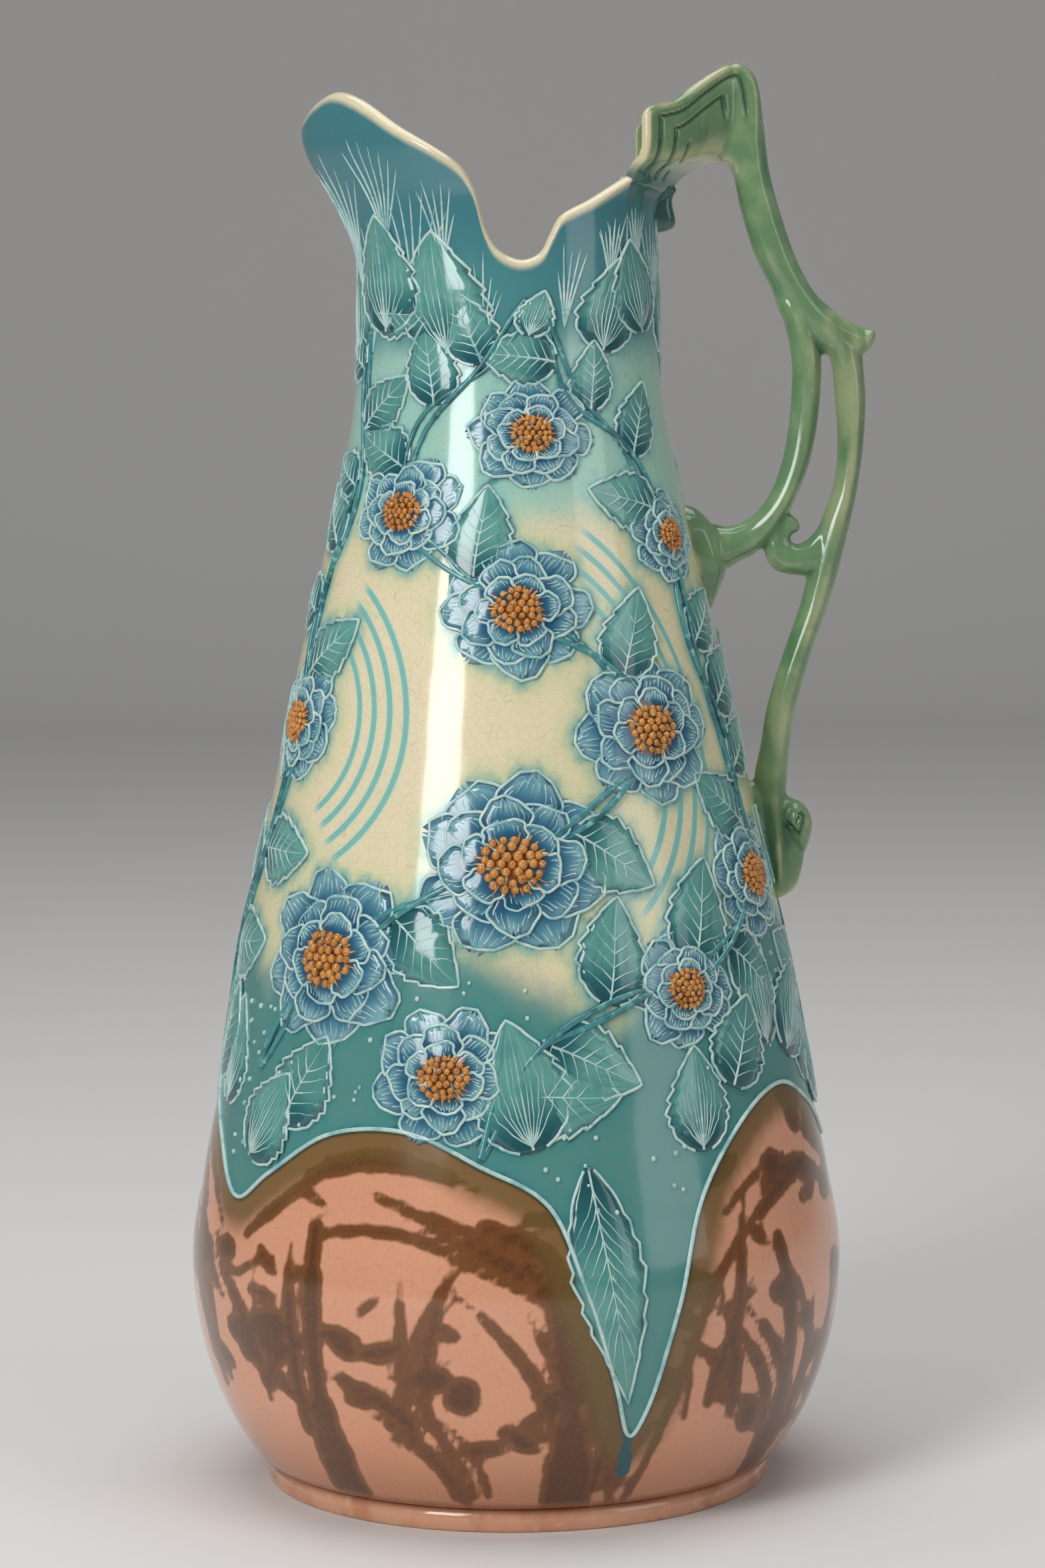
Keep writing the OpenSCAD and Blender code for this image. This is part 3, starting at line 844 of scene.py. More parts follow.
@dataclass
class Relief:
    """The raised ornament: twining vines with many-petalled flowers over a hem of leaves.

    A whorl is its number of petals, their reach, width and lift, and their shift round the
    middle. A ring of the cushion is its number of knobs, its radius, their size and their lift.
    """

    seed: int = 11
    blooms: tuple = FRONT_BLOOMS + tuple(
        Bloom(b.phi + 180, b.z + (3 if k % 2 else -3), b.radius * 0.96, b.turn + 17)
        for k, b in enumerate(FRONT_BLOOMS)
    )
    vines: tuple = (
        ((-58, 118), (-46, 140), (-26, 160), (0, 173), (24, 190), (36, 206), (24, 224), (2, 237),
         (-20, 250), (-35, 262), (-32, 284), (-8, 300), (8, 316)),
        ((-6, 100), (2, 124), (22, 138), (44, 146), (64, 166), (66, 196), (58, 226), (57, 255),
         (44, 278), (24, 292), (14, 314)),
        ((-92, 118), (-84, 150), (-72, 180), (-66, 207), (-70, 236), (-60, 268), (-66, 300), (-58, 322)),
    )  # fmt: skip
    whorls: tuple = (
        (8, 1.0, 0.64, 0.12, 0.0), (8, 0.72, 0.5, 0.72, 0.5), (6, 0.47, 0.4, 1.3, 0.2),
    )  # fmt: skip
    cushion: tuple = (
        (1, 0, 0.052, 2.3), (6, 0.1, 0.052, 2.28), (12, 0.195, 0.05, 2.15), (17, 0.28, 0.047, 1.85),
    )  # fmt: skip
    petal_veins: tuple = (-0.66, -0.46, -0.24, 0.0, 0.24, 0.46, 0.66)
    flat: float = 0.88
    sunk: float = 0.06
    hairs: int = 24
    leaf_gap: float = 15.0
    twist: float = 11.0
    neck_leaves: int = 13
    hem_leaves: int = 34
    drops: int = 420
    lowest: float = 84.0

    def __post_init__(self) -> None:
        """Opens one set of work for each kind of clay."""
        self.rng = random.Random(self.seed)
        self.petals = BladeWork("blossoms", 12, 7)
        self.beds = BladeWork("stamen_beds", 8, 8)
        self.leaves = BladeWork("leaves", 30, 6)
        self.petal_lines = BeadWork("petal_lines")
        self.leaf_lines = BeadWork("leaf_lines")
        self.veins = BeadWork("veins", 0)
        self.stems = BeadWork("vines")
        self.fans = BeadWork("reed_fans")
        self.filaments = BeadWork("filaments", 0)
        self.hem = BeadWork("hem_line")
        self.stamens = StudWork("stamens")
        self.dew = StudWork("dew", 6, 4)

    def bloom(self, bloom: Bloom) -> None:
        """Models one flower with its whorls of petals, veins, filaments and stamens.

        Args:
            bloom: the flower.
        """
        draw, r = self.rng.uniform, bloom.radius
        for n, reach, width, lift, shift in self.whorls:
            for k in range(n):
                petal = Blade(
                    bloom.phi, bloom.z, bloom.turn + 360 * (k + shift) / n + draw(-5, 5),
                    0.9 * r * reach * draw(0.92, 1.03), r * width * draw(0.95, 1.1),
                    Outline.PETAL, lift + 0.3 * (k % 2), 0.024 * r, draw(-0.06, 0.06), 0.1 * r,
                    self.flat, ruffle=0.085, tone=draw(0, 1),
                )  # fmt: skip
                self.petals.blades.append(petal)
                phi, z, up = petal.edge(20)
                self.petal_lines.trail(phi, z, 0.43, up - self.sunk)
                for v in self.petal_veins:
                    far = 0.93 - 0.34 * v * v
                    u = np.linspace(far, far - draw(0.1, 0.26), 5)
                    phi, z = petal.spots(u, np.full(5, v))
                    self.veins.trail(phi, z, 0.23 * np.linspace(1, 0.2, 5), petal.height(u, v))
        bed = Blade(
            bloom.phi, bloom.z, 0, 0.66 * r, 0.66 * r, Outline.DISC, 1.45, 0.5, 0, -0.33 * r, self.flat,
        )  # fmt: skip
        self.beds.blades.append(bed)
        scale = float(FORM.outer_r(bloom.phi + 90, bloom.z)) * math.pi / 180
        for n, far, size, lift in self.cushion:
            for k in range(n):
                a = 2 * math.pi * (k + draw(-0.12, 0.12)) / n
                reach = far * r * draw(0.93, 1.07)
                x, y = reach * math.cos(a) / scale, self.flat * reach * math.sin(a)
                self.stamens.knob(bloom.phi + x, bloom.z + y, lift, size * r * draw(0.9, 1.08))
        for k in range(self.hairs):
            a = 2 * math.pi * (k + draw(-0.2, 0.2)) / self.hairs
            t = r * np.linspace(0.26, draw(0.34, 0.4), 4)
            self.filaments.trail(
                bloom.phi + t * math.cos(a) / scale, bloom.z + self.flat * t * math.sin(a),
                np.linspace(0.5, 0.25, 4), np.linspace(1.9, 1.7, 4),
            )  # fmt: skip

    def leaf(self, leaf: Blade, veins: Veins, count: int = 5) -> None:
        """Models one leaf with its edge, its midrib and its other veins.

        Args:
            leaf: the leaf.
            veins: how the veins run.
            count: how many there are on each side.
        """
        self.leaves.blades.append(leaf)
        phi, z, up = leaf.edge(31)
        self.leaf_lines.trail(phi, z, 0.45, up - self.sunk)
        u = np.linspace(0.02, 0.93, 14)
        phi, z = leaf.spots(u, np.zeros(14))
        self.veins.trail(phi, z, 0.42 * (1.05 - u), leaf.height(u, 0))
        for k in range(count):
            for side in (-1, 1):
                t = np.linspace(0, 1, 9)
                if veins is Veins.FAN:
                    v = side * 0.92 * (k + 1) / (count + 0.6)
                    u = 0.05 + (0.86 - 0.45 * v * v) * t * (0.85 + 0.15 * (k % 2))
                    v = v * t**0.5
                else:
                    u, v = 0.1 + 0.62 * k / count + 0.2 * t, side * 0.86 * t**1.15
                phi, z = leaf.spots(u, v)
                self.veins.trail(phi, z, 0.25 * (1.1 - t), leaf.height(u, v))

    def free(self, phi: float, z: float, room: float) -> bool:
        """Whether a place is clear of every flower by that much."""
        return all(b.away(phi, z) > b.radius * 0.92 + room for b in self.blooms)

    def vine(self, knots: Rows) -> None:
        """Twines two stems round each other and sets leaves along them.

        Args:
            knots: angles and heights that the vine passes.
        """
        draw = self.rng.uniform
        rows = smooth_rows(knots, 20)
        phi, z = rows[:, 0], rows[:, 1]
        r = FORM.outer_r(phi + 90, z)
        dx, dz = np.gradient(phi) * np.pi / 180 * r, np.gradient(z)
        step = np.hypot(dx, dz)
        run = np.cumsum(step)
        nx, nz = -dz / step, dx / step
        thick = mix(1.0, 0.62, (z - 100) / 220)
        for side in (-1, 1):
            off = side * 1.6 * np.sin(run / self.twist)
            lift = 0.2 + 0.25 * side * np.cos(run / self.twist)
            self.stems.trail(phi + np.degrees(off * nx / r), z + off * nz, thick, lift)
        side, last = 1, 0.0
        for k in range(8, len(run) - 6):
            if run[k] - last < self.leaf_gap:
                continue
            heading = math.degrees(math.atan2(dz[k], dx[k])) + side * draw(48, 72)
            length = float(mix(30, 19, (z[k] - 110) / 200)) * draw(0.85, 1.1)
            a = math.radians(heading)
            tip = phi[k] + math.degrees(0.62 * length * math.cos(a) / r[k])
            if self.free(tip, z[k] + 0.62 * length * math.sin(a), 0.22 * length) and z[k] < 318:
                self.leaf(
                    Blade(
                        phi[k], z[k], heading, length, length * 0.64, Outline.OVATE, 0.3, 0.7,
                        side * 0.08, 1.0, teeth=6, tone=draw(0, 1),
                    ),
                    Veins.FEATHER,
                )  # fmt: skip
                last = run[k]
            side = -side

    def collar(self) -> None:
        """Sets broad leaves round the neck, and fans of thin reeds up to the rim between them."""
        draw = self.rng.uniform
        for k in range(self.neck_leaves):
            phi = -90 + 360 * (k + 0.5) / self.neck_leaves + draw(-4, 4)
            top = float(FORM.rim_z(phi + 90))
            foot = 300 + 7 * (k % 2) + draw(0, 3)
            length = min(0.62 * (top - foot), 27 + 4 * (k % 3))
            if length > 9:
                tilt = draw(-16, 16)
                self.leaf(
                    Blade(
                        phi, foot, 90 + tilt, length, 0.72 * length, Outline.OVATE, 0.2 + 0.4 * (k % 2),
                        0.7, 0.1 * math.copysign(1, tilt), 0, teeth=6, tone=draw(0, 1),
                    ),
                    Veins.FAN,
                    4,
                )  # fmt: skip
                aside = length * math.sin(math.radians(-tilt))
                lean = math.degrees(aside / float(FORM.outer_r(phi + 90, foot)))
                self.reeds(phi + 0.75 * lean, foot + 0.7 * length, 28 + 0.3 * length)
            self.reeds(phi + 14, foot + 2, 36)

    def reeds(self, phi: float, foot: float, length: float) -> None:
        """Models a fan of thin reeds that ends below the rim.

        Args:
            phi: the angle of its middle.
            foot: the height where the reeds spring from.
            length: the length of the middle reed, in millimetres.
        """
        draw = self.rng.uniform
        t = np.linspace(0.02, 1, 12)
        for ray in range(-3, 4):
            room = float(np.min(FORM.rim_z(phi + 5 * ray * t**1.3 + 90))) - 7 - foot
            reach = min(room, length - 0.7 * ray * ray) * draw(0.84, 1.0)
            if reach > 12:
                tip = 0.17 * ray * min(reach, 32)
                radius = 0.06 + 0.3 * np.sin(math.pi * t**0.8) ** 0.6
                self.fans.trail(phi + tip * t**1.15, foot + reach * t, radius)

    def skirt(self) -> None:
        """Draws the hem line, and over it a band of toothed leaves with dew between them."""
        draw = self.rng.uniform
        phi = np.linspace(-180, 180, 900)
        z = Layout.band_low(phi)
        self.hem.trail(phi, z, 0.62, 0.1)
        for k in range(self.hem_leaves):
            phi0 = -180 + 360 * (k + draw(0.2, 0.8)) / self.hem_leaves
            low = float(Layout.band_low(phi0))
            z0 = low + draw(6, 12)
            if low < self.lowest or not self.free(phi0, z0 + 12, 2):
                continue
            self.leaf(
                Blade(
                    phi0, z0, 90 + draw(-45, 45), draw(24, 34),
                    draw(17, 23), Outline.OVATE, 0.15 + 0.45 * (k % 2), 0.8,
                    draw(-0.12, 0.12), 0, teeth=8, tone=draw(0, 1),
                ),
                Veins.FAN if k % 3 else Veins.FEATHER,
            )  # fmt: skip
        for middle, top, foot, lean in Layout.tails:
            self.leaf(
                Blade(
                    middle - lean, top, -90 + lean * 1.1, top - foot - 6, 17, Outline.LANCE, 0.1, 0.9,
                    0.02, 0, teeth=9, tone=0.4,
                ),
                Veins.FEATHER,
                9,
            )  # fmt: skip
        for _ in range(self.drops):
            phi0, above = draw(-180, 180), draw(7, 52)
            z0 = float(Layout.band_low(phi0)) + above
            if z0 > self.lowest and self.free(phi0, z0, 1.5):
                self.dew.knob(phi0, z0, 0.1, draw(0.55, 0.85))

    def model(self) -> None:
        """Models the whole ornament in its order."""
        for knots in self.vines:
            for shift in (0, 180):
                self.vine([(a + shift, b) for a, b in knots])
        self.collar()
        self.skirt()
        for bloom in self.blooms:
            self.bloom(bloom)

    def near(self, places: Grid) -> Grid:
        """Measures how far points lie from the nearest slip line.

        Args:
            places: rows of x, y, z in millimetres.

        Returns:
            The distances in millimetres, at most 40.
        """
        works = (self.petal_lines, self.leaf_lines, self.stems, self.hem)
        points = np.concatenate([path for work in works for path in work.paths])
        tree = kdtree.KDTree(len(points))
        for k, point in enumerate(points):
            tree.insert(point, k)
        tree.balance()
        return np.array([min(tree.find(p)[2], 40.0) for p in places])


class Layout:
    """Where the colours of the relief lie on the wall.

    A tail is its angle, its top, its foot and its lean. A set of arcs is its centre's angle and
    height, the start and the sweep of its sector, and its first and last radius. A run is its
    angle, its upper end and its length.
    """

    band_knots: tuple = (
        (-180, 104), (-166, 92), (-158, 62), (-153, 40), (-147, 58), (-138, 88), (-122, 108), (-104, 116),
        (-88, 112), (-72, 98), (-60, 84), (-50, 92), (-36, 104), (-20, 106), (-6, 98), (6, 88),
        (12, 66), (17, 42), (20, 28), (23, 34), (28, 60), (35, 88), (48, 106), (62, 112),
        (76, 104), (90, 92), (104, 104), (120, 114), (138, 112), (152, 98), (165, 88), (174, 98),
        (180, 104),
    )  # fmt: skip
    tails: tuple = ((20, 98, 30, 7), (207, 98, 42, 6))
    arcs: tuple = (
        (-8, 200, -52, 118, 48.7, 68.8), (-66, 207, -62, 128, 23.7, 43.8),
        (172, 200, -52, 118, 48.7, 68.8), (114, 210, 60, 150, 23.7, 43.8),
    )  # fmt: skip
    arc_fade: float = 18.0
    runs: tuple = ((20.0, 29.0, 12.0), (-153.0, 41.0, 8.0))
    runs_top: float = 45.0

    @classmethod
    def band_low(cls, phi: Grid) -> Grid:
        """Height of the leaf band's lower edge at each angle."""
        rows = smooth_rows(cls.band_knots, 10)
        return np.interp(wrapped(phi), rows[:, 0], rows[:, 1])

    @classmethod
    def above_band(cls, phi: Grid, z: Grid) -> Grid:
        """Measures how far points lie above the band's lower edge, square to that edge.

        Args:
            phi: angles in degrees.
            z: heights in millimetres.

        Returns:
            Distances in millimetres, negative below the edge.
        """
        edge = np.linspace(-200, 200, 1600)
        low = cls.band_low(edge)
        tree = kdtree.KDTree(len(edge))
        scale = math.pi / 180 * FORM.belly_r * 0.93
        for k in range(len(edge)):
            tree.insert((edge[k] * scale, low[k], 0), k)
        tree.balance()
        far = np.array([tree.find((a * scale, b, 0))[2] for a, b in zip(phi, z, strict=True)])
        return np.where(z > cls.band_low(phi), far, -far)

    @classmethod
    def rings(cls, phi: Grid, z: Grid) -> tuple[Grid, Grid]:
        """Measures the painted rings, which run part of the way round their centres.

        Args:
            phi: angles in degrees.
            z: heights in millimetres.

        Returns:
            The distance to the centre that a point belongs to, in millimetres, and how far it lies
            inside that centre's sector, from 0 at its borders to 1.
        """
        reach, best = np.zeros(np.shape(phi)), np.full(np.shape(phi), -999.0)
        for centre, level, start, sweep, first, last in cls.arcs:
            side = wrapped(phi - centre) * math.pi / 180 * FORM.body_r(level)
            far = np.hypot(side, z - level)
            off = wrapped(np.degrees(np.arctan2(z - level, side)) - start - 0.5 * sweep)
            ends = (0.5 * sweep - np.abs(off)) / cls.arc_fade
            inside = np.minimum(ends, np.minimum(far - first, last - far))
            reach = np.where(inside > best, far, reach)
            best = np.maximum(inside, best)
        return reach, ease(best)

    @classmethod
    def drips(cls, phi: Grid, z: Grid) -> Grid:
        """Measures how far points lie inside the runs of dark glaze under the two tails.

        Args:
            phi: angles in degrees.
            z: heights in millimetres.

        Returns:
            The depths in millimetres, negative outside.
        """
        t, widths = np.array([0.0, 0.6, 1.0]), np.array([1.7, 1.4, 2.0])
        runs = [(np.c_[a + 0.4 * t, low - length * t], widths) for a, low, length in cls.runs]
        return inside_strokes(runs, phi, z, cls.runs_top)


def inside_strokes(strokes: Sequence[tuple[Grid, Grid]], phi: Grid, z: Grid, top: float) -> Grid:
    """Measures how far each point lies inside the nearest stroke; outside is negative.

    Args:
        strokes: for each stroke its points, as angles and heights, and its half widths.
        phi: angles in degrees.
        z: heights in millimetres.
        top: the height over which no stroke reaches.

    Returns:
        The depth at each point in millimetres, not below -9.
    """
    out = np.full(len(phi), -9.0)
    near = z < top
    x, y = phi[near], z[near]
    scale = math.pi / 180 * FORM.body_r(y)
    best = np.full(len(x), -9.0)
    for points, widths in strokes:
        for (p0, z0), (p1, z1), w in zip(points, points[1:], widths[1:], strict=False):
            ax, ay = wrapped(x - p0) * scale, y - z0
            bx, by = (p1 - p0) * scale, z1 - z0
            t = np.clip((ax * bx + ay * by) / (bx * bx + by * by + 1e-9), 0, 1)
            best = np.maximum(best, w - np.hypot(ax - t * bx, ay - t * by))
    out[near] = best
    return out


@dataclass(frozen=True)
class Brushwork:
    """Loose brown brushwork on the lower part: reeds, dabs and arcs, under the glaze."""

    seed: int = 7
    tufts: int = 24
    top: float = 125.0

    def strokes(self) -> list[tuple[Grid, Grid]]:
        """Draws the strokes in the flat.

        Returns:
            For each stroke its points, as angles and heights, and its half widths.
        """
        # Each tuft has thin reeds, short dabs, arcs along the hem and, every third one, a broad reed.
        rng = random.Random(self.seed)
        draw = rng.uniform
        out: list[tuple[Grid, Grid]] = []
        t = np.linspace(0, 1, 7)
        for k in range(self.tufts):
            middle = -180 + 360 * (k + draw(0.1, 0.9)) / self.tufts
            foot = draw(9, 36)
            for _ in range(rng.randint(4, 6)):
                lean, rise = draw(-20, 20), draw(20, 70)
                phi = middle + draw(-6, 6) + lean * t**1.6
                z = foot + draw(-4, 4) + rise * t * (1 - 0.25 * t)
                width = draw(0.9, 2.8) * np.sin(math.pi * (0.08 + 0.9 * t)) ** 0.6
                out.append((np.c_[phi, z], width))
            for _ in range(rng.randint(6, 9)):
                phi = middle + draw(-13, 13) + draw(2, 9) * (t - 0.5)
                z = foot + draw(8, 82) + draw(-5, 5) * t
                width = draw(1.2, 4.4) * np.sin(math.pi * (0.1 + 0.8 * t))
                out.append((np.c_[phi, z], width))
            for _ in range(2):
                start, drop = middle + draw(-20, 20), draw(8, 26)
                phi = start + draw(14, 34) * t
                z = Layout.band_low(phi) - drop - draw(-6, 10) * t
                width = draw(0.9, 3.2) * np.sin(math.pi * (0.08 + 0.86 * t)) ** 0.7
                out.append((np.c_[phi, z], width))
            if k % 3 == 0:
                phi = middle + draw(-5, 5) + draw(-7, 7) * t**2
                z = 10 + draw(48, 72) * t
                width = mix(draw(5, 8), 2.2, t) * (1 + 0.25 * np.sin(9 * t))
                out.append((np.c_[phi, z], width))
        return out

    def depth(self, phi: Grid, z: Grid) -> Grid:
        """Measures how far each point lies inside the nearest stroke; outside is negative."""
        return inside_strokes(self.strokes(), phi, z, self.top)


@dataclass
class VesselSkin:
    """The glazed skin of body, neck and spout, outside and inside, in one closed shell.

    The lip's rings are shares of the wall's thickness and of the rim's rounding.
    """

    columns: int = 360
    body_rows: int = 152
    neck_rows: int = 34
    inner_rows: int = 17
    rim_soft: float = 1.8
    inset: float = 0.05
    tuck: float = 1.1
    cove: float = 9.0
    far: float = 99.0
    lip: tuple = (
        (0.05, 0.7), (0.16, 0.36), (0.33, 0.1), (0.5, 0), (0.67, 0.1), (0.84, 0.36), (0.95, 0.7),
    )  # fmt: skip

    def sections(self) -> tuple[Grid, Grid, Grid, Grid]:
        """Works out the shell's section at each column.

        Returns:
            Radius, height, distance from the rim, and 1 where the wall is the inner one, each
            with a row per ring from the underside's middle to the floor's.
        """
        turn = np.arange(self.columns) * 360 / self.columns
        top = FORM.rim_z(turn)
        free = (np.abs(wrapped(turn)) <= 180 - FORM.crest_angle).astype(float)
        soft = self.rim_soft * free
        rings: list[tuple[Grid, Grid, float]] = []
        for r in (0.0, 30.0, 58.0, FORM.foot_r - FORM.foot_step):
            rings.append((r, FORM.foot_h, 0))
        for z in np.linspace(FORM.foot_h + FORM.foot_step, FORM.neck_z, self.body_rows):
            rings.append((FORM.body_r(z), z, 0))
        for k in range(1, self.neck_rows + 1):
            z = mix(FORM.neck_z, top - soft, k / self.neck_rows)
            tuck = self.tuck * (1 - free) * (k == self.neck_rows)
            rings.append((FORM.outer_r(turn, z) - tuck, z, 0))
        wide, r = FORM.wall(turn, top) - tuck, FORM.outer_r(turn, top) - tuck
        for across, down in self.lip:
            rings.append((r - across * wide, top - down * soft, float(across > 0.5)))
        for k in range(self.inner_rows, -1, -1):
            z = mix(FORM.neck_z, top - soft, k / self.inner_rows)
            rings.append((FORM.outer_r(turn, z) - FORM.wall(turn, z), z, 1))
        low = FORM.floor_z + self.cove
        for z in np.linspace(FORM.neck_z, low, 2 * self.inner_rows)[1:]:
            rings.append((FORM.body_r(z) - FORM.body_wall, z, 1))
        corner = float(FORM.body_r(low)) - FORM.body_wall
        for a in np.radians([25, 50, 75, 90]):
            z = FORM.floor_z + self.cove * (1 - math.sin(a))
            rings.append((corner - self.cove * (1 - math.cos(a)), z, 1))
        for r in (45.0, 20.0, 0.0):
            rings.append((r, FORM.floor_z, 1))
        radius, height, inner = (
            np.array([ring[k] * np.ones(self.columns) for ring in rings]) for k in range(3)
        )
        return radius, height, np.where(free > 0, top - height, self.far), inner

    def build(self, material: Material, relief: Relief) -> Object:
        """Spins the shell and stores what the glaze needs to know at each point.

        Args:
            material: the glaze.
            relief: the ornament, whose lines the glaze pools along.

        Returns:
            The finished piece.
        """
        radius, height, rim, inner = self.sections()
        rows = len(radius) - 1
        bm = bmesh.new()
        bmesh.ops.create_grid(bm, x_segments=self.columns, y_segments=rows, size=1.0)
        flat = np.array([v.co[:2] for v in bm.verts])
        mesh = meshed("vessel", bm)
        column = np.rint((0.5 + 0.5 * flat[:, 0]) * self.columns).astype(int) % self.columns
        row = np.rint((0.5 + 0.5 * flat[:, 1]) * rows).astype(int)
        r, z = np.maximum(radius[row, column] - self.inset, 0), height[row, column]
        a = np.radians(column * 360 / self.columns)
        places = np.stack([-r * np.cos(a), -r * np.sin(a), z], 1)
        phi = wrapped(np.degrees(a) - 90)
        inside = inner[row, column]
        band = np.full(len(z), self.far)
        low = (z < 190) & (inside == 0)
        band[low] = Layout.above_band(phi[low], z[low])
        ring, arc = Layout.rings(phi, z)
        aside = np.abs(wrapped(phi - 90))
        values = {
            "crest": np.where(aside < FORM.crest_angle + 1, z - FORM.seam_z(aside), -self.far),
            "rim": rim[row, column], "inner": inside, "line": relief.near(places), "band": band,
            "stroke": Brushwork().depth(phi, z), "ring": ring, "arc": arc, "drip": Layout.drips(phi, z),
        }  # fmt: skip
        move(mesh, places)
        for name, numbers in values.items():
            write_values(mesh, name, numbers)
        return outward(new_piece("vessel", mesh, material))


@dataclass
class FootRing:
    """The turned foot: a rounded ring with a shadow line above it."""

    width: float = 9.0
    steps: int = 180

    def build(self, material: Material) -> Object:
        """Spins the ring's section.

        Args:
            material: its material.

        Returns:
            The finished piece.
        """
        r, h, s, w = FORM.foot_r, FORM.foot_h, FORM.foot_step, FORM.foot_r - self.width
        section = [
            (w, h), (w + 0.2, 0.7), (w + 0.6, 0.15), (w + s, 0), (r - s, 0), (r - 0.55, 0.18),
            (r - 0.2, 0.65), (r - 0.03, 1.6), (r, 2.6), (r - 0.05, 3.6), (r - 0.25, 4.5),
            (r - 0.65, 5.2), (r - 1.2, 5.7), (r - 1.8, 6.0),
        ]  # fmt: skip
        bm = bmesh.new()
        chain = [bm.verts.new((x * MM, 0, z * MM)) for x, z in section]
        edges = [bm.edges.new(pair) for pair in zip(chain, chain[1:] + chain[:1], strict=True)]
        bmesh.ops.spin(
            bm, geom=chain + edges, cent=(0, 0, 0), axis=(0, 0, 1), angle=2 * math.pi,
            steps=self.steps, use_merge=True,
        )  # fmt: skip
        bmesh.ops.recalc_face_normals(bm, faces=bm.faces)
        return new_piece("foot", meshed("foot", bm), material)


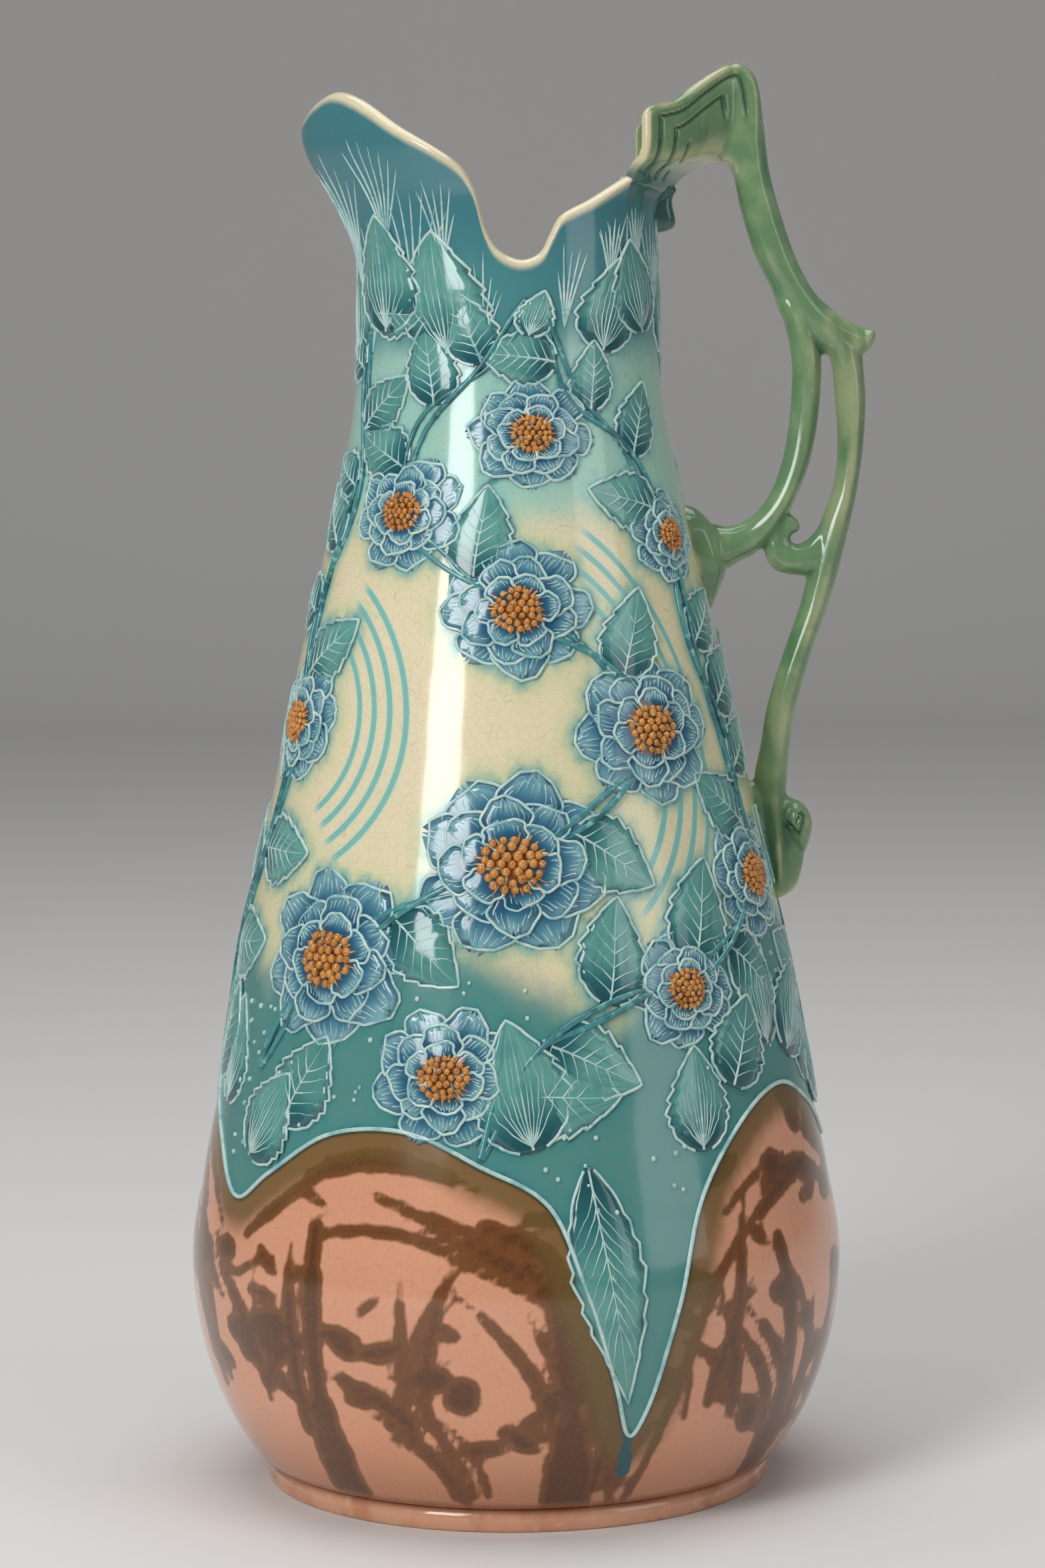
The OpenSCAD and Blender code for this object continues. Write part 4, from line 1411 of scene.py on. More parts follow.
@dataclass
class StemHandle:
    """The handle: a forked plant stem that springs from the stepped crest of the rim.

    A rib of upper, inner, outer, curl and roll is the place of its inner edge and of its outer
    edge, in shares of reach and height, and its share of the depth. A ring of pad, tail and drop
    is its shares of height, stand and half width. The crest's zones are where the glaze of the
    whole crest, of its front edge and of its underside may be: a lowest height, a farthest reach.
    """

    voxel: float = 0.56
    sides: int = 28
    square: float = 1.8
    ridge: float = 0.2
    upper: tuple = (
        (0.29, 0.88, 0.325, 0.994, 1.2), (0.328, 0.877, 0.371, 0.998, 1.2),
        (0.349, 0.868, 0.452, 0.981, 1.12), (0.361, 0.854, 0.487, 0.935, 1.05),
        (0.374, 0.836, 0.514, 0.874, 1), (0.4, 0.81, 0.554, 0.832, 1),
        (0.434, 0.781, 0.602, 0.792, 1), (0.479, 0.753, 0.653, 0.758, 1),
        (0.523, 0.731, 0.721, 0.727, 1), (0.593, 0.686, 0.8, 0.707, 1),
        (0.725, 0.659, 0.884, 0.692, 0.92), (0.848, 0.641, 0.953, 0.684, 0.76),
        (0.945, 0.654, 0.99, 0.682, 0.56), (0.968, 0.6585, 0.998, 0.6765, 0.38),
        (0.983, 0.665, 0.996, 0.671, 0.18),
    )  # fmt: skip
    inner: tuple = (
        (0.538, 0.723, 0.7, 0.693, 1), (0.578, 0.693, 0.729, 0.673, 0.95),
        (0.604, 0.659, 0.743, 0.649, 0.9), (0.6, 0.628, 0.733, 0.623, 0.87),
        (0.575, 0.59, 0.704, 0.586, 0.87), (0.533, 0.553, 0.656, 0.548, 0.87),
        (0.471, 0.516, 0.588, 0.511, 0.87), (0.39, 0.484, 0.485, 0.47, 0.88),
        (0.306, 0.463, 0.366, 0.435, 0.9), (0.229, 0.452, 0.269, 0.415, 0.95),
        (0.155, 0.449, 0.177, 0.404, 1), (0.06, 0.456, 0.066, 0.388, 1.08),
    )  # fmt: skip
    outer: tuple = (
        (0.7, 0.693, 0.933, 0.651, 1), (0.751, 0.667, 0.932, 0.639, 0.9),
        (0.784, 0.644, 0.931, 0.623, 0.87), (0.784, 0.608, 0.924, 0.597, 0.85),
        (0.773, 0.567, 0.896, 0.561, 0.85), (0.742, 0.527, 0.851, 0.523, 0.85),
        (0.685, 0.489, 0.79, 0.482, 0.85), (0.596, 0.451, 0.723, 0.444, 0.87),
        (0.533, 0.417, 0.663, 0.412, 0.87), (0.465, 0.38, 0.594, 0.377, 0.86),
        (0.396, 0.346, 0.523, 0.344, 0.85), (0.302, 0.305, 0.429, 0.304, 0.85),
        (0.213, 0.264, 0.347, 0.263, 0.85), (0.141, 0.225, 0.277, 0.224, 0.85),
        (0.082, 0.184, 0.218, 0.183, 0.86), (0.02, 0.142, 0.172, 0.142, 0.9),
        (0.015, 0.1, 0.126, 0.1, 0.98), (0.01, 0.06, 0.092, 0.06, 0.96),
        (0, 0.025, 0.062, 0.027, 0.82), (-0.01, 0.006, 0.04, 0.012, 0.55),
    )  # fmt: skip
    curl: tuple = (
        (0.622, 0.462, 0.51, 0.379, 0.7), (0.585, 0.447, 0.483, 0.386, 0.72),
        (0.533, 0.434, 0.443, 0.388, 0.76), (0.492, 0.428, 0.385, 0.39, 0.72),
        (0.464, 0.427, 0.34, 0.394, 0.66), (0.449, 0.429, 0.314, 0.405, 0.6),
        (0.446, 0.432, 0.312, 0.42, 0.56), (0.449, 0.4345, 0.333, 0.436, 0.52),
        (0.454, 0.436, 0.375, 0.451, 0.48), (0.461, 0.438, 0.425, 0.461, 0.46),
        (0.466, 0.4395, 0.468, 0.4625, 0.48), (0.471, 0.4405, 0.497, 0.4565, 0.44),
        (0.474, 0.4405, 0.504, 0.449, 0.34), (0.478, 0.4395, 0.494, 0.4425, 0.18),
    )  # fmt: skip
    pad: tuple = (
        (1, 0.12, 0.3), (0.955, 0.42, 0.55), (0.85, 0.74, 0.85), (0.7, 0.97, 1), (0.5, 1, 1),
        (0.33, 0.82, 0.86), (0.2, 0.52, 0.62), (0.08, 0.22, 0.36), (0, 0.05, 0.16),
    )  # fmt: skip
    tail: tuple = (
        (1, 0.02, 0.2), (0.95, 0.2, 0.4), (0.89, 0.52, 0.54), (0.82, 0.8, 0.56), (0.7, 0.9, 0.56),
        (0.6, 0.88, 0.54), (0.5, 0.78, 0.52), (0.36, 0.7, 0.5), (0.2, 0.56, 0.48),
        (0.07, 0.38, 0.44), (0, 0.1, 0.3),
    )  # fmt: skip
    roll: tuple = (
        (0.125, 0.078, 0.118, 0.1, 0.5), (0.138, 0.064, 0.138, 0.112, 0.78),
        (0.15, 0.056, 0.172, 0.119, 0.92), (0.166, 0.052, 0.207, 0.117, 0.96),
        (0.184, 0.056, 0.23, 0.111, 0.88), (0.212, 0.068, 0.243, 0.102, 0.64),
        (0.236, 0.082, 0.245, 0.093, 0.36),
    )  # fmt: skip
    drop: tuple = (
        (1, 0.2, 0.6), (0.8, 0.45, 0.85), (0.5, 0.85, 1), (0.25, 1, 0.95), (0.08, 0.8, 0.75),
        (0, 0.2, 0.35),
    )  # fmt: skip
    crest_soft: float = 1.8
    crest_dip: float = 2.6
    groove_levels: tuple = (2.8, 6.2)
    groove_shares: tuple = (0.58, 0.86, 0.6)
    third_groove: float = 9.6
    crest_zones: tuple = ((330, 56), (346, 62), (350, 67))
    groove_width: float = 0.42
    groove_depth: float = 0.75
    smoothing: tuple = (0.5, -0.52, 0.5, -0.52, 0.5, -0.52, 0.5)
    scroll: tuple = ((74.1, 176.8), (76.9, 173.9), (78.7, 178.8), (77.6, 180.0), (76.5, 177.2))

    def strand(self, rows: Rows) -> list[Grid]:
        """Draws a limb's rings from its table.

        Args:
            rows: per rib, the shares of its inner and outer edge and of its depth.

        Returns:
            The rings, in millimetres.
        """
        half = FORM.limb_depth / 2
        ribs = [(*FORM.place(s[0], s[1]), *FORM.place(s[2], s[3]), s[4] * half) for s in rows]
        a = np.radians(90 + 360 * (np.arange(self.sides) + 0.5) / self.sides)
        rings = []
        for x0, z0, x1, z1, half in smooth_rows(ribs, 7):
            power = 2 / mix(self.square, 5.0, ease((z1 - 362) / 14))
            c = np.sign(np.cos(a)) * np.abs(np.cos(a)) ** power
            s = np.sign(np.sin(a)) * np.abs(np.sin(a)) ** power
            c = c + self.ridge * s**4 * (1 - c * c)
            x, z = (x0 + x1) / 2 + (x1 - x0) / 2 * c, (z0 + z1) / 2 + (z1 - z0) / 2 * c
            rings.append(np.stack([x, half * s, z], 1))
        return rings

    def sprig(self, rows: Rows, low: float, high: float, stand: float, half: float) -> list[Grid]:
        """Draws the rings of a piece that lies on the wall.

        Args:
            rows: per ring, the shares of height, stand and half width.
            low: its lowest height.
            high: its highest height.
            stand: how far it stands out at most.
            half: its largest half width.

        Returns:
            The rings, in millimetres.
        """
        rings = []
        for up, out, wide in smooth_rows(rows, 5):
            z, across = mix(low, high, up), np.linspace(-1, 1, 15)
            y = across * half * wide
            round_wall = float(FORM.outer_r(180.0, z)) if z > FORM.neck_z else float(FORM.body_r(z))
            x = np.sqrt(round_wall**2 - y * y)
            swell = (1 - np.abs(across) ** 2.4) ** (1 / 2.4)
            face = np.stack([x + 0.4 + max(stand * out - 0.4, 0) * swell, y, 0 * y + z], 1)
            rings.append(np.concatenate([face, np.stack([x - 1.2, y, 0 * y + z], 1)[::-1]]))
        return rings

    def crest(self) -> list[Grid]:
        """Draws the crest's loops from its left front edge to its right one.

        Returns:
            The loops, in millimetres, each of them running down 3 mm inside the neck's wall.
        """
        face = smooth_rows(FORM.crest_face, 3)
        seat_x = FORM.place(self.upper[1][0], self.upper[1][1])[0]
        loops = []
        for angle in np.linspace(-FORM.crest_angle, FORM.crest_angle, 61):
            turn, a = 180 - abs(angle), math.radians(angle)
            low, top = float(FORM.seam_z(angle)), float(FORM.crest_top(angle))
            foot, deep = (float(FORM.outer_r(turn, low - down)) for down in (1.2, 3))
            r1 = FORM.waist_r + float(FORM.crest_out(turn))
            wall = float(FORM.wall(turn, low))
            dip = self.crest_dip * math.exp(-((angle / 11) ** 2))
            shoulder = top - self.crest_soft
            path = np.stack([mix(foot + 0.12, r1, face[:, 0]), mix(low - 1.2, shoulder, face[:, 1])], 1)
            path[:, 0] = np.minimum(path[:, 0], (seat_x + 1.5) / math.cos(a))
            way = np.gradient(path, axis=0)
            way /= np.linalg.norm(way, axis=1)[:, None]
            thick = FORM.neck_wall * mix(0.62, 1.0, ease((FORM.crest_angle - abs(angle)) / 8))
            back = path + np.stack([-way[:, 1], way[:, 0]], 1) * thick
            back[0] = path[0] + (-wall - 0.15, 0)
            back[:, 0] = np.minimum(back[:, 0], (seat_x - FORM.nose_t) / math.cos(a))
            back[:, 1] = np.minimum(back[:, 1], shoulder - dip)
            lip = [
                (mix(path[-1, 0], back[-1, 0], s), top - self.crest_soft * d - dip * s**1.5)
                for s, d in ((0.1, 0.5), (0.35, 0.08), (0.65, 0.08), (0.9, 0.5))
            ]
            root = [(deep - wall + 0.7, low - 3), (deep - 0.8, low - 3)]
            loop = np.concatenate([path, lip, back[::-1], root])
            loops.append(np.stack([loop[:, 0] * math.cos(a), loop[:, 0] * math.sin(a), loop[:, 1]], 1))
        return loops

    def model(self) -> Mesh:
        """Joins all strands into one skin and smooths it as wet clay is smoothed.

        Returns:
            The handle's mesh.
        """
        bm = bmesh.new()
        low, h = FORM.tail_z, FORM.handle_h
        for rows in (self.upper, self.inner, self.outer, self.curl, self.roll):
            loft(bm, self.strand(rows))
        for rows, foot, top, stand, half in (
            (self.pad, low + 0.349 * h, low + 0.475 * h, 7.4, 9.5),
            (self.tail, low, low + 0.142 * h, 0.246 * FORM.handle_reach, 0.62 * FORM.limb_depth),
            (self.drop, FORM.root_z - 11.6, FORM.root_z, 5.0, 3.7),
        ):
            loft(bm, self.sprig(rows, foot, top, stand, half))
        loft(bm, self.crest())
        bmesh.ops.recalc_face_normals(bm, faces=bm.faces)
        remesh = {"mode": "VOXEL", "voxel_size": self.voxel * MM}
        return applied(meshed("rough_handle", bm), "REMESH", remesh)

    def grooves(self, p: Grid, n: Grid) -> Grid:
        """Measures how deep the modelling tool cut at each point.

        Args:
            p: places in millimetres.
            n: unit normals.

        Returns:
            Depths from 0 to 1.
        """
        x, y, z = p.T
        angle, r = np.degrees(np.arctan2(y, x)), np.hypot(x, y)
        # How far each point lies from the front edge, the top and the outer edge, with a share
        # for each that brings the three grooves' corners to where the crest's own corners are.
        side_share, top_share, outer_share = self.groove_shares
        share = np.minimum(np.abs(angle), FORM.crest_angle)
        front = np.radians(FORM.crest_angle - share) * r * side_share
        down = (FORM.crest_top(share) - z) * top_share
        rows = smooth_rows([FORM.place(s[2], s[3]) for s in self.upper[1:9]], 8)[::-1]
        outside = (np.interp(z, rows[:, 1], rows[:, 0]) - x) * outer_share
        metric = np.minimum(np.minimum(down, front), outside)
        faces_out = (n[:, 0] * x + n[:, 1] * y) / r > -0.1
        side = (np.abs(n[:, 1]) > 0.25) & (np.abs(y) > 2)
        on_crest = (z > FORM.seam_z(share) + 1.0) & faces_out & side
        fade = np.where(outside < np.minimum(down, front) + 0.1, ease((z - 361) / 8), 1.0)
        cut = np.zeros(len(p))
        for level in self.groove_levels:
            cut = np.maximum(cut, np.exp(-(((metric - level) / self.groove_width) ** 2)) * fade)
        third = np.exp(-(((front - self.third_groove) / self.groove_width) ** 2))
        cut = np.maximum(cut, third * (down > 11) * (outside > 6)) * on_crest
        scroll = np.zeros(len(p))
        for (x0, z0), (x1, z1) in zip(self.scroll, self.scroll[1:], strict=False):
            dx, dz = x1 - x0, z1 - z0
            t = np.clip(((x - x0) * dx + (z - z0) * dz) / (dx**2 + dz**2), 0, 1)
            far = np.hypot(x - x0 - t * dx, z - z0 - t * dz)
            scroll = np.maximum(scroll, np.exp(-((far / self.groove_width) ** 2)))
        return np.maximum(cut, scroll * (np.abs(n[:, 1]) > 0.35))

    def build(self, material: Material) -> Object:
        """Carves the grooves and stores where the glaze pools and breaks, and where creases take painted
        shade.

        Args:
            material: its material.

        Returns:
            The finished piece.
        """
        mesh = self.model()
        pairs = np.empty(len(mesh.edges) * 2, np.int32)
        mesh.edges.foreach_get("vertices", pairs)
        ends = pairs.reshape(-1, 2)
        p = read_rows(mesh.vertices, "co") / MM
        for share in self.smoothing:
            p = p + share * (around(p, ends) - p)
        move(mesh, p)
        n = read_rows(mesh.vertex_normals, "vector")
        cut = self.grooves(p, n)
        p = p - n * (self.groove_depth * cut)[:, None]
        p[:, 2] = np.minimum(p[:, 2], FORM.waist_z + FORM.crest_h - 0.15)
        move(mesh, p)
        n = read_rows(mesh.vertex_normals, "vector")
        bend = ((around(p, ends) - p) * n).sum(1)
        for _ in range(10):
            bend = around(bend[:, None], ends)[:, 0]
        x, y, z = p.T
        angle = np.degrees(np.arctan2(y, x))
        above = z - FORM.seam_z(np.minimum(np.abs(angle), FORM.crest_angle))
        zones = ((z > low) & (x < far) for low, far in self.crest_zones)
        on_crest, before, below = zones
        on_crest &= np.abs(angle) < FORM.crest_angle + 1
        # The seam and the thorn's point are kept from counting as a sharp ridge.
        bend = np.where((np.abs(above) < 1.7) & on_crest, 0.01, bend)
        bend = np.where(x > FORM.place(0.965, 0.66)[0], 0.2 * bend, bend)
        face = ease((np.abs(angle) - FORM.crest_angle + 2.0) / 1.3) * before
        under = ease((-n[:, 2] - 0.2) / 0.4) * below * ease((above - 3) / 4)
        write_values(mesh, "groove", cut)
        write_values(mesh, "hollow", np.clip(bend / 0.04, -1.5, 1.5))
        write_values(mesh, "front", np.maximum(face, 0.6 * under))
        write_values(mesh, "foot", np.where(on_crest, ease(1 - above / 5), 0.0))
        return new_piece("stem_handle", mesh, material)


def loft(bm: BMesh, rings: Sequence[Grid]) -> None:
    """Draws a closed skin through rings of points.

    Args:
        bm: the bmesh that it goes into.
        rings: rows of x, y, z in millimetres, each ring with as many points as the next.
    """
    slot = bm.verts.layers.int.get("slot") or bm.verts.layers.int.new("slot")
    verts = bmesh.ops.create_circle(bm, cap_ends=True, segments=len(rings[0]), radius=1.0)["verts"]
    edges = []
    for k, vert in enumerate(verts):
        vert[slot] = k
        vert.co = rings[0][k] * MM
        edges.append(bm.edges.get((vert, verts[k - 1])))
    for ring in rings[1:]:
        made = bmesh.ops.extrude_edge_only(bm, edges=edges)["geom"]
        edges = [g for g in made if isinstance(g, BMEdge) and g.is_boundary]
        for part in made:
            if isinstance(part, BMVert):
                part.co = ring[part[slot]] * MM
    bmesh.ops.contextual_create(bm, geom=edges)


def around(values: Grid, ends: Grid) -> Grid:
    """Averages each vertex's neighbours.

    Args:
        values: one row per vertex.
        ends: the two vertices of each edge.

    Returns:
        The averages.
    """
    both = np.concatenate([ends[:, 0], ends[:, 1]])
    other = np.concatenate([ends[:, 1], ends[:, 0]])
    count = np.maximum(np.bincount(both, minlength=len(values)), 1)
    sums = [np.bincount(both, values[other, k], len(values)) for k in range(values.shape[1])]
    return np.stack(sums, 1) / count[:, None]


@dataclass(frozen=True)
class WallGlaze(Glaze):
    """Majolica glazes, cream, teal and peach, run together over white earthenware.

    To the eye they are milky and deep, cloudy where they meet, dark along the raised lines where
    they pooled, with a fine crackle. The peach one lies over brown brushwork.
    """

    cream: str = "#E6D9B8"
    peach: str = "#D4926F"
    inside: str = "#DDD2B4"
    cloud_mm: float = 23.81
    grain_mm: float = 3.846
    run_mm: float = 6.667
    ring_mm: float = 5.0
    crackle_mm: float = 2.3

    def material(self) -> Material:
        """Builds the glaze.

        Returns:
            The material.
        """
        board = Board("majolica_wall_glaze")
        read = {
            name: board.add("ShaderNodeAttribute", {"attribute_name": name}).outputs["Fac"]
            for name in ("rim", "inner", "line", "band", "stroke", "ring", "arc", "drip", "crest")
        }
        split = board.add("ShaderNodeSeparateXYZ", None, {0: board.place})
        height, turns = (
            board.add("ShaderNodeMath", {"operation": "MULTIPLY"}, {0: value, 1: factor}).outputs[0]
            for value, factor in ((split.outputs[2], 1 / MM), (read["ring"], 2 * math.pi / self.ring_mm))
        )
        wave = board.add("ShaderNodeMath", {"operation": "SINE"}, {0: turns}).outputs[0]
        drawn_out = {"Vector": board.place, "Scale": (1.0, 1.0, 0.22)}
        runs_down = board.add("ShaderNodeMapping", None, drawn_out).outputs[0]
        cloud, grain, runs = (
            board.add(
                "ShaderNodeTexNoise", None, {"Vector": way, "Scale": 1 / (size * MM), "Detail": detail}
            ).outputs[0]
            for way, size, detail in (
                (board.place, self.cloud_mm, 3.0),
                (board.place, self.grain_mm, 4.0),
                (runs_down, self.run_mm, 3.0),
            )
        )
        # Each border is made uneven by a cloud or a grain, so many millimetres wide.
        shifted, near, hem, ink, rim, smear = (
            board.add(
                "ShaderNodeMath", {"operation": "MULTIPLY_ADD"}, {0: noise, 1: width, 2: value}
            ).outputs[0]
            for noise, width, value in (
                (cloud, 26.0, height), (grain, 2.4, read["line"]), (cloud, 22.0, read["band"]),
                (grain, 1.6, read["stroke"]), (cloud, 2.0, read["rim"]), (grain, 3.0, read["band"]),
            )
        )  # fmt: skip
        crack = board.add(
            "ShaderNodeTexVoronoi",
            {"feature": "DISTANCE_TO_EDGE"},
            {"Vector": board.place, "Scale": 1 / (self.crackle_mm * MM)},
        ).outputs[0]
        arcs, band = (read["arc"], 0.05, 0.6), read["band"]
        above = [
            Layer("#D8CB9E", 0.45, (runs,)),
            Layer("#D0D2A4", 0.75, (near, 9.5, 3.0)),
            Layer("#C3D9C6", 0.85, arcs, (wave, -0.25, 0.1)),
            Layer("#74B5AC", 0.9, arcs, (wave, 0.3, 0.7)),
            Layer("#79B0A6", 1.0, (near, 5.4, 1.6), (runs, 0.25, 0.62)),
            Layer("#3C8583", 0.95, (hem, 66, 48)),
            Layer("#93C8BC", 0.85, (shifted, 264, 284)),
            Layer("#3F8589", 0.95, (shifted, 308, 326)),
            Layer("#2D6D7B", 0.6, (shifted, 322, 356)),
            Layer("#2C5F5A", 0.92, (read["crest"], -10, -1)),
            Layer("#17606A", 0.8, (near, 2.6, 1.2)),
            Layer("#DDD2B0", 0.96, (rim, 4.4, 2.2)),
        ]
        whole = [
            Layer("#E2AE92", 0.5, (cloud,)),
            Layer("#BF8361", 1.0, (height, 34, 6)),
            Layer("#74451F", 1.0, (ink, -0.1, 1.0), (runs, -0.3, 0.45)),
            Layer("#4F2C12", 0.7, (ink, 1.3, 3.0)),
            Layer("#6A5224", 0.88, (smear, -10, -3)),
            Layer("#45452A", 1.0, (band, -1.6, -0.8)),
            # Painted shadow: a dark line on the body just above the foot.
            Layer("#84431F", 0.75, (height, 9.4, 7.2)),
            Layer("#17525B", 1.0, (read["drip"], -0.3, 0.4)),
            Layer(board.stack(self.cream, above), 1.0, (band, -0.4, 0.4)),
            Layer(self.inside, 1.0, (read["inner"],)),
            Layer("#8A6A45", 0.2, (crack, 0.045, 0.0)),
        ]
        return self.finish(board, board.stack(self.peach, whole))


@dataclass(frozen=True)
class BladeGlaze(Glaze):
    """Thin coloured glaze on petals or leaves: pale where it is thin, dark where it pooled."""

    name: str = "blue_petal_glaze"
    base: str = "#4A8499"
    light: str = "#84B2B8"
    dark: str = "#225A78"
    deep: str = "#143F5E"
    streaks: float = 1.0
    pool: float = 0.95
    cloud_mm: float = 5.882

    def material(self) -> Material:
        """Builds the glaze.

        Returns:
            The material.
        """
        board = Board(self.name)
        along, across, tone = (
            board.add("ShaderNodeAttribute", {"attribute_name": name}).outputs["Fac"]
            for name in ("along", "across", "tone")
        )
        side = board.add("ShaderNodeMath", {"operation": "ABSOLUTE"}, {0: across}).outputs[0]
        spot = board.add("ShaderNodeCombineXYZ", None, {0: along, 1: across, 2: tone}).outputs[0]
        # Streaks run along the blade, and each blade's tone moves it to another part of the noise.
        drawn_out = {"Vector": spot, "Scale": (1.6, 7.0, 40.0)}
        flow = board.add("ShaderNodeMapping", None, drawn_out).outputs[0]
        streak, cloud = (
            board.add(
                "ShaderNodeTexNoise", None, {"Vector": way, "Scale": scale, "Detail": 3.0}
            ).outputs[0]
            for way, scale in ((flow, 1.0), (board.place, 1 / (self.cloud_mm * MM)))
        )
        pool = self.pool
        layers = [
            Layer(self.light, 0.7, (along, pool - 0.35, pool)),
            Layer(self.light, 0.45, (tone, 0.55, 1.0)),
            Layer(self.dark, 0.6 * self.streaks, (streak, 0.5, 0.72)),
            Layer(self.base, 0.45, (cloud, 0.5, 0.7)),
            Layer(self.dark, 0.85, (along, pool - 0.05, pool - 0.38)),
            Layer(self.deep, 0.75, (along, pool - 0.22, pool - 0.5)),
            Layer(self.deep, 0.6, (side, 0.7, 1.0)),
            Layer(self.dark, 0.3, (tone, 0.35, 0.0)),
        ]
        return self.finish(board, board.stack(self.base, layers))


@dataclass(frozen=True)
class MottledGlaze(Glaze):
    """One glaze with a second and a third tone that drift through it, as glossy as the wall's."""

    name: str = "pale_slip_line"
    base: str = "#B4D3CF"
    second: str = "#82B4B8"
    third: str = "#D6E0CE"
    patch_mm: float = 6.0

    def material(self) -> Material:
        """Builds the glaze.

        Returns:
            The material.
        """
        board = Board(self.name)
        wide, fine = (
            board.add(
                "ShaderNodeTexNoise", None, {"Vector": board.place, "Scale": scale, "Detail": detail}
            ).outputs[0]
            for scale, detail in ((1 / (self.patch_mm * MM), 3.0), (3 / (self.patch_mm * MM), 4.0))
        )
        layers = [Layer(self.second, 1.0, (wide, 0.45, 0.68)), Layer(self.third, 1.0, (fine, 0.52, 0.75))]
        return self.finish(board, board.stack(self.base, layers))


@dataclass(frozen=True)
class HandleGlaze(Glaze):
    """Leaf-green glaze over cream: dark in the tool marks, cream where it ran off the ridges, darker in
    creases as pooled glaze and painted shade.
    """

    base: str = "#678961"
    run_mm: float = 7.692
    cloud_mm: float = 10.526
    blotch_mm: float = 16.13

    def material(self) -> Material:
        """Builds the glaze.

        Returns:
            The material.
        """
        board = Board("green_stem_glaze")
        groove, hollow, front, foot = (
            board.add("ShaderNodeAttribute", {"attribute_name": name}).outputs["Fac"]
            for name in ("groove", "hollow", "front", "foot")
        )
        drawn_out = {"Vector": board.place, "Scale": (1.0, 1.0, 0.3)}
        runs_down = board.add("ShaderNodeMapping", None, drawn_out).outputs[0]
        runs, cloud, blotch = (
            board.add(
                "ShaderNodeTexNoise", None, {"Vector": way, "Scale": 1 / (size * MM), "Detail": detail}
            ).outputs[0]
            for way, size, detail in (
                (runs_down, self.run_mm, 4.0),
                (board.place, self.cloud_mm, 3.0),
                (runs_down, self.blotch_mm, 3.0),
            )
        )
        layers = [
            Layer("#84A072", 0.8, (cloud, 0.45, 0.7)),
            Layer("#A5AA80", 0.55, (blotch, 0.54, 0.68)),
            Layer("#426F46", 0.65, (runs, 0.5, 0.72)),
            Layer("#B9B58D", 0.85, (hollow, -0.3, -0.85), (cloud, 0.3, 0.58)),
            # Creases darker: partly glaze pooled there, partly painted shade.
            Layer("#285433", 1.0, (hollow, 0.08, 0.65)),
            Layer("#D6CCA4", 0.9, (front,)),
            Layer("#1F4A2C", 0.95, (groove,)),
            Layer("#2C5F5A", 0.9, (foot,)),
        ]
        return self.finish(board, board.stack(self.base, layers))


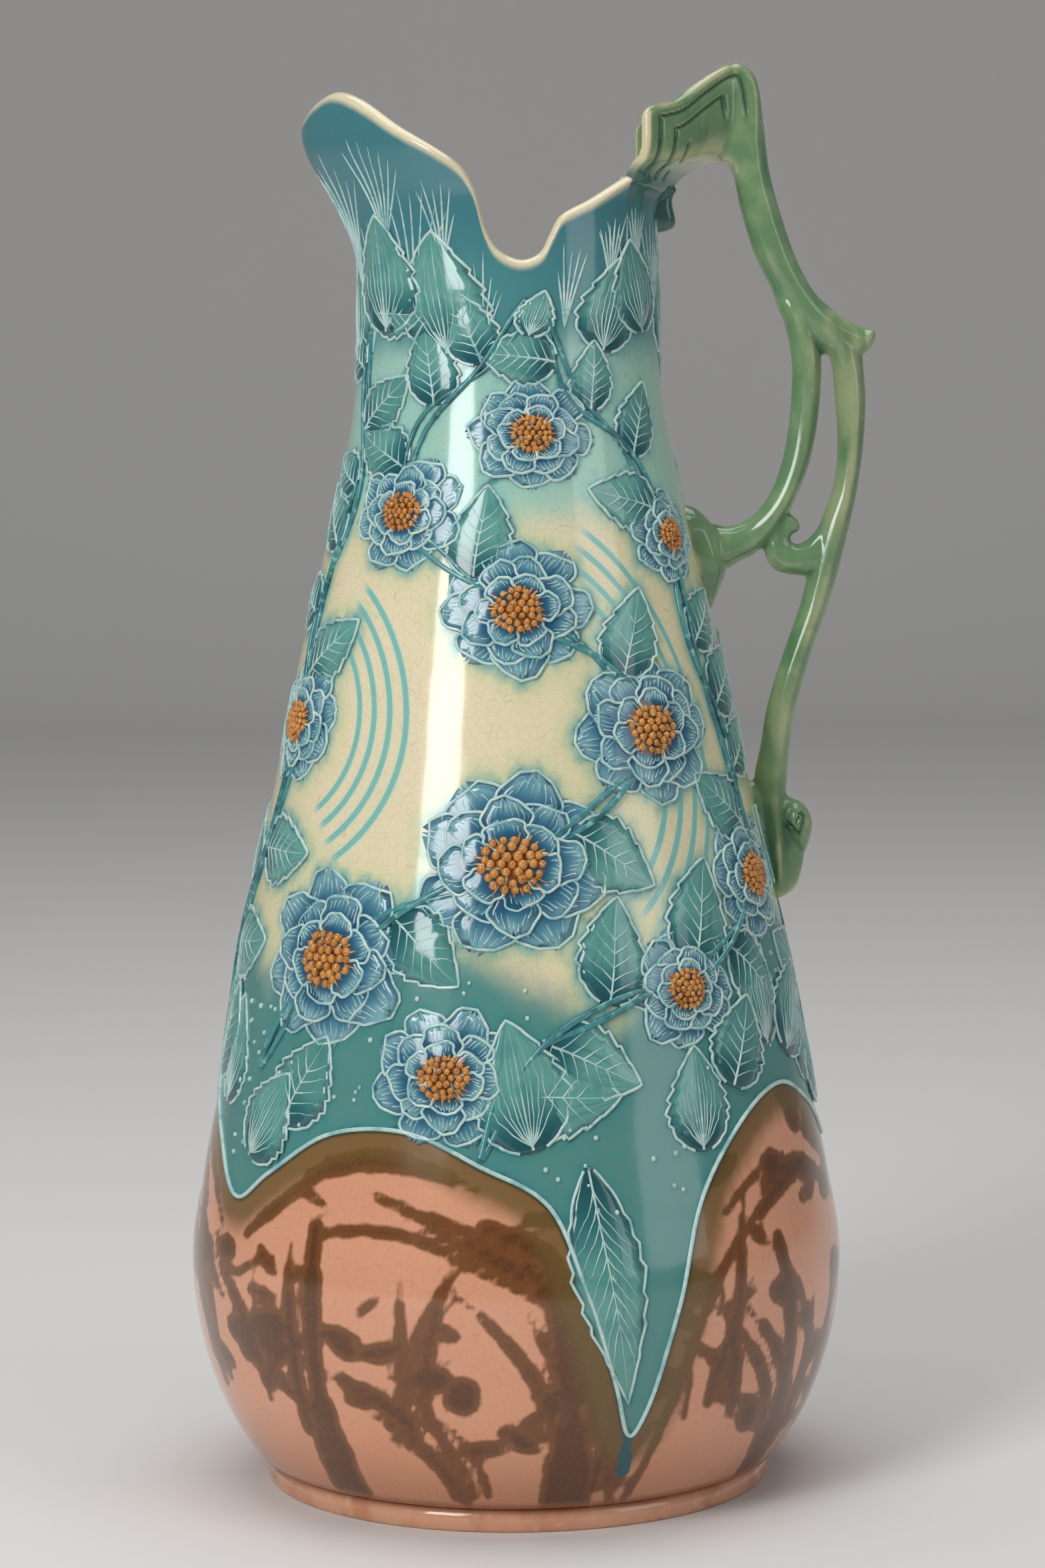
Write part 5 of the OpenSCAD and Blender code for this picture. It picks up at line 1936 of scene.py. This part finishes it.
@dataclass(frozen=True)
class Studio:
    """Pale floor and backdrop, soft boxes and the camera at the photograph's place, in metres."""

    floor_colour: str = "#E6E4E2"
    grain_m: float = 0.3333
    half_width: float = 3.5
    front: float = -3.2
    back: float = 3.2
    bend: float = 0.6
    top: float = 3.6
    room_colour: str = "#E8EAED"
    room_strength: float = 0.24
    key_angle: float = 34.0
    key_far: float = 1.15
    eye: tuple = (0.0028, -1.12, 0.29)
    pitch: float = 5.22
    roll: float = -0.493
    lens_mm: float = 95.66

    def stage(self) -> None:
        """Makes the floor and the backdrop as one sheet that bends up behind the jug."""
        board = Board("matt_paper")
        grain = board.add(
            "ShaderNodeTexNoise", None, {"Vector": board.place, "Scale": 1 / self.grain_m, "Detail": 2.0}
        ).outputs[0]
        colour = board.stack(self.floor_colour, [Layer("#DAD8D6", 0.25, (grain,))])
        shader = board.add("ShaderNodeBsdfPrincipled", None, {"Base Color": colour, "Roughness": 0.75})
        board.add("ShaderNodeOutputMaterial", None, {"Surface": shader.outputs[0]})
        bm = bmesh.new()
        start, bend = self.back - self.bend, self.bend
        curve = [
            (start + bend * math.sin(a), bend - bend * math.cos(a))
            for a in np.radians(np.arange(6, 90, 6))
        ]
        section = [(self.front, 0.0), (start, 0.0), *curve, (self.back, bend), (self.back, self.top)]
        chain = [bm.verts.new((-self.half_width, y, z)) for y, z in section]
        edges = [bm.edges.new(pair) for pair in zip(chain, chain[1:], strict=False)]
        made = bmesh.ops.extrude_edge_only(bm, edges=edges)["geom"]
        far_side = [g for g in made if isinstance(g, BMVert)]
        bmesh.ops.translate(bm, verts=far_side, vec=(2 * self.half_width, 0, 0))
        bmesh.ops.recalc_face_normals(bm, faces=bm.faces)
        wrong = [f for f in bm.faces if f.normal.z < -0.5 or f.normal.y > 0.5]
        bmesh.ops.reverse_faces(bm, faces=wrong)
        new_piece("paper_sweep", meshed("paper_sweep", bm), board.material)

    def soft_box(
        self, name: str, place: Sequence[float], aim: float, size: Sequence[float], watts: float
    ) -> None:
        """Hangs one rectangular soft box.

        Args:
            name: the lamp's name.
            place: where it hangs.
            aim: the height on the jug's axis that it points at.
            size: its width and height.
            watts: its power.
        """
        lamp = bpy.data.lights.new(name, "AREA")
        lamp.shape, lamp.size, lamp.size_y, lamp.energy = "RECTANGLE", size[0], size[1], watts
        box = in_scene(name, lamp)
        box.location = place
        box.rotation_euler = (Vector((0, 0, aim)) - Vector(place)).to_track_quat("-Z", "Y").to_euler()

    def light(self) -> None:
        """Sets the key light at the front left, a dim fill at the right and one from above."""
        a = math.radians(self.key_angle)
        key = (-self.key_far * math.sin(a), -self.key_far * math.cos(a), 0.8)
        self.soft_box("key", key, 0.2, (0.4, 0.85), 9.5)
        self.soft_box("fill", (1.6, -1.0, 0.9), 0.2, (0.9, 1.4), 5.5)
        self.soft_box("top", (0.0, 0.1, 1.9), 0.1, (1.6, 1.4), 16.5)
        world = bpy.data.worlds.new("room")
        bpy.context.scene.world = world
        world.use_nodes = True
        sky = world.node_tree.nodes["Background"]
        sky.inputs["Color"].default_value = linear(self.room_colour)
        sky.inputs["Strength"].default_value = self.room_strength

    def camera(self) -> None:
        """Places the camera where the photograph was taken from."""
        pitch, roll = math.radians(self.pitch), math.radians(self.roll)
        right, up = Vector((1, 0, 0)), Vector((0, math.sin(pitch), math.cos(pitch)))
        ahead = Vector((0, math.cos(pitch), -math.sin(pitch)))
        side = right * math.cos(roll) + up * math.sin(roll)
        over = up * math.cos(roll) - right * math.sin(roll)
        lens = bpy.data.cameras.new("camera")
        lens.sensor_fit, lens.sensor_width, lens.lens = "AUTO", 36.0, self.lens_mm
        lens.clip_start = 0.05
        camera = in_scene("camera", lens)
        turn = Matrix((side, over, -ahead)).transposed().to_4x4()
        camera.matrix_world = Matrix.Translation(self.eye) @ turn
        bpy.context.scene.camera = camera


@dataclass(frozen=True)
class Jug:
    """The whole dressed jug."""

    handle_nodes: tuple = (
        "handle_crest", "crest_drop", "upper_limb", "inner_limb", "outer_limb", "branch_curl",
        "shoulder_pad", "tail_scroll",
    )  # fmt: skip

    def dress(self) -> None:
        """Builds every piece with its glaze and rides it on the frame."""
        relief = Relief()
        relief.model()
        wall, stem = WallGlaze().material(), HandleGlaze().material()
        # Peach glaze thinned on the turned foot, so it looks patchy.
        foot = MottledGlaze(
            name="peach_foot_glaze", base="#D39B7B", second="#C08260", third="#D9AE8E", patch_mm=16.0
        ).material()
        settle(VesselSkin().build(wall, relief), ("body", "neck_spout"))
        settle(FootRing().build(foot), ("foot_ring",))
        settle(StemHandle().build(stem), self.handle_nodes)
        blue = BladeGlaze().material()
        # Teal glaze pooled over half of each leaf, so its base is much darker than its tip.
        teal = BladeGlaze(
            name="teal_leaf_glaze", base="#3A8080", light="#6BA69A", dark="#1B5C63", deep="#0D444B",
            streaks=0.7, pool=0.5,
        ).material()  # fmt: skip
        # White slip under a breath of glaze: the pale threads that outline everything.
        pale = MottledGlaze().material()
        # The same teal, thin on raised stems: it breaks to aqua on top.
        aqua = MottledGlaze(
            name="aqua_stem_glaze", base="#3F888B", second="#205F68", third="#86BDB6"
        ).material()
        # Iron-stained glaze: burnt on the beds, bright orange on the knobs.
        burnt, amber = (
            MottledGlaze(name=name, base=base, second=second, third=third, patch_mm=3.0).material()
            for name, base, second, third in (
                ("burnt_amber_glaze", "#8C4C1A", "#6E3812", "#AC682C"),
                ("amber_stamen_glaze", "#C58238", "#9E611F", "#E2B26C"),
            )
        )
        for work, glaze in (
            (relief.petals, blue), (relief.leaves, teal), (relief.petal_lines, pale),
            (relief.leaf_lines, pale), (relief.hem, pale), (relief.fans, pale), (relief.veins, pale),
            (relief.dew, pale), (relief.stems, aqua),
        ):  # fmt: skip
            settle(work.build(glaze))
        for work, glaze in ((relief.beds, burnt), (relief.filaments, amber), (relief.stamens, amber)):
            settle(work.build(glaze))


def main() -> None:
    """Loads the frame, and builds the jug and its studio."""
    logging.basicConfig(level=logging.INFO, format="%(message)s")
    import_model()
    bpy.context.scene.view_settings.view_transform = "Standard"
    studio = Studio()
    studio.camera()
    Jug().dress()
    studio.stage()
    studio.light()


if __name__ == "__main__":
    main()
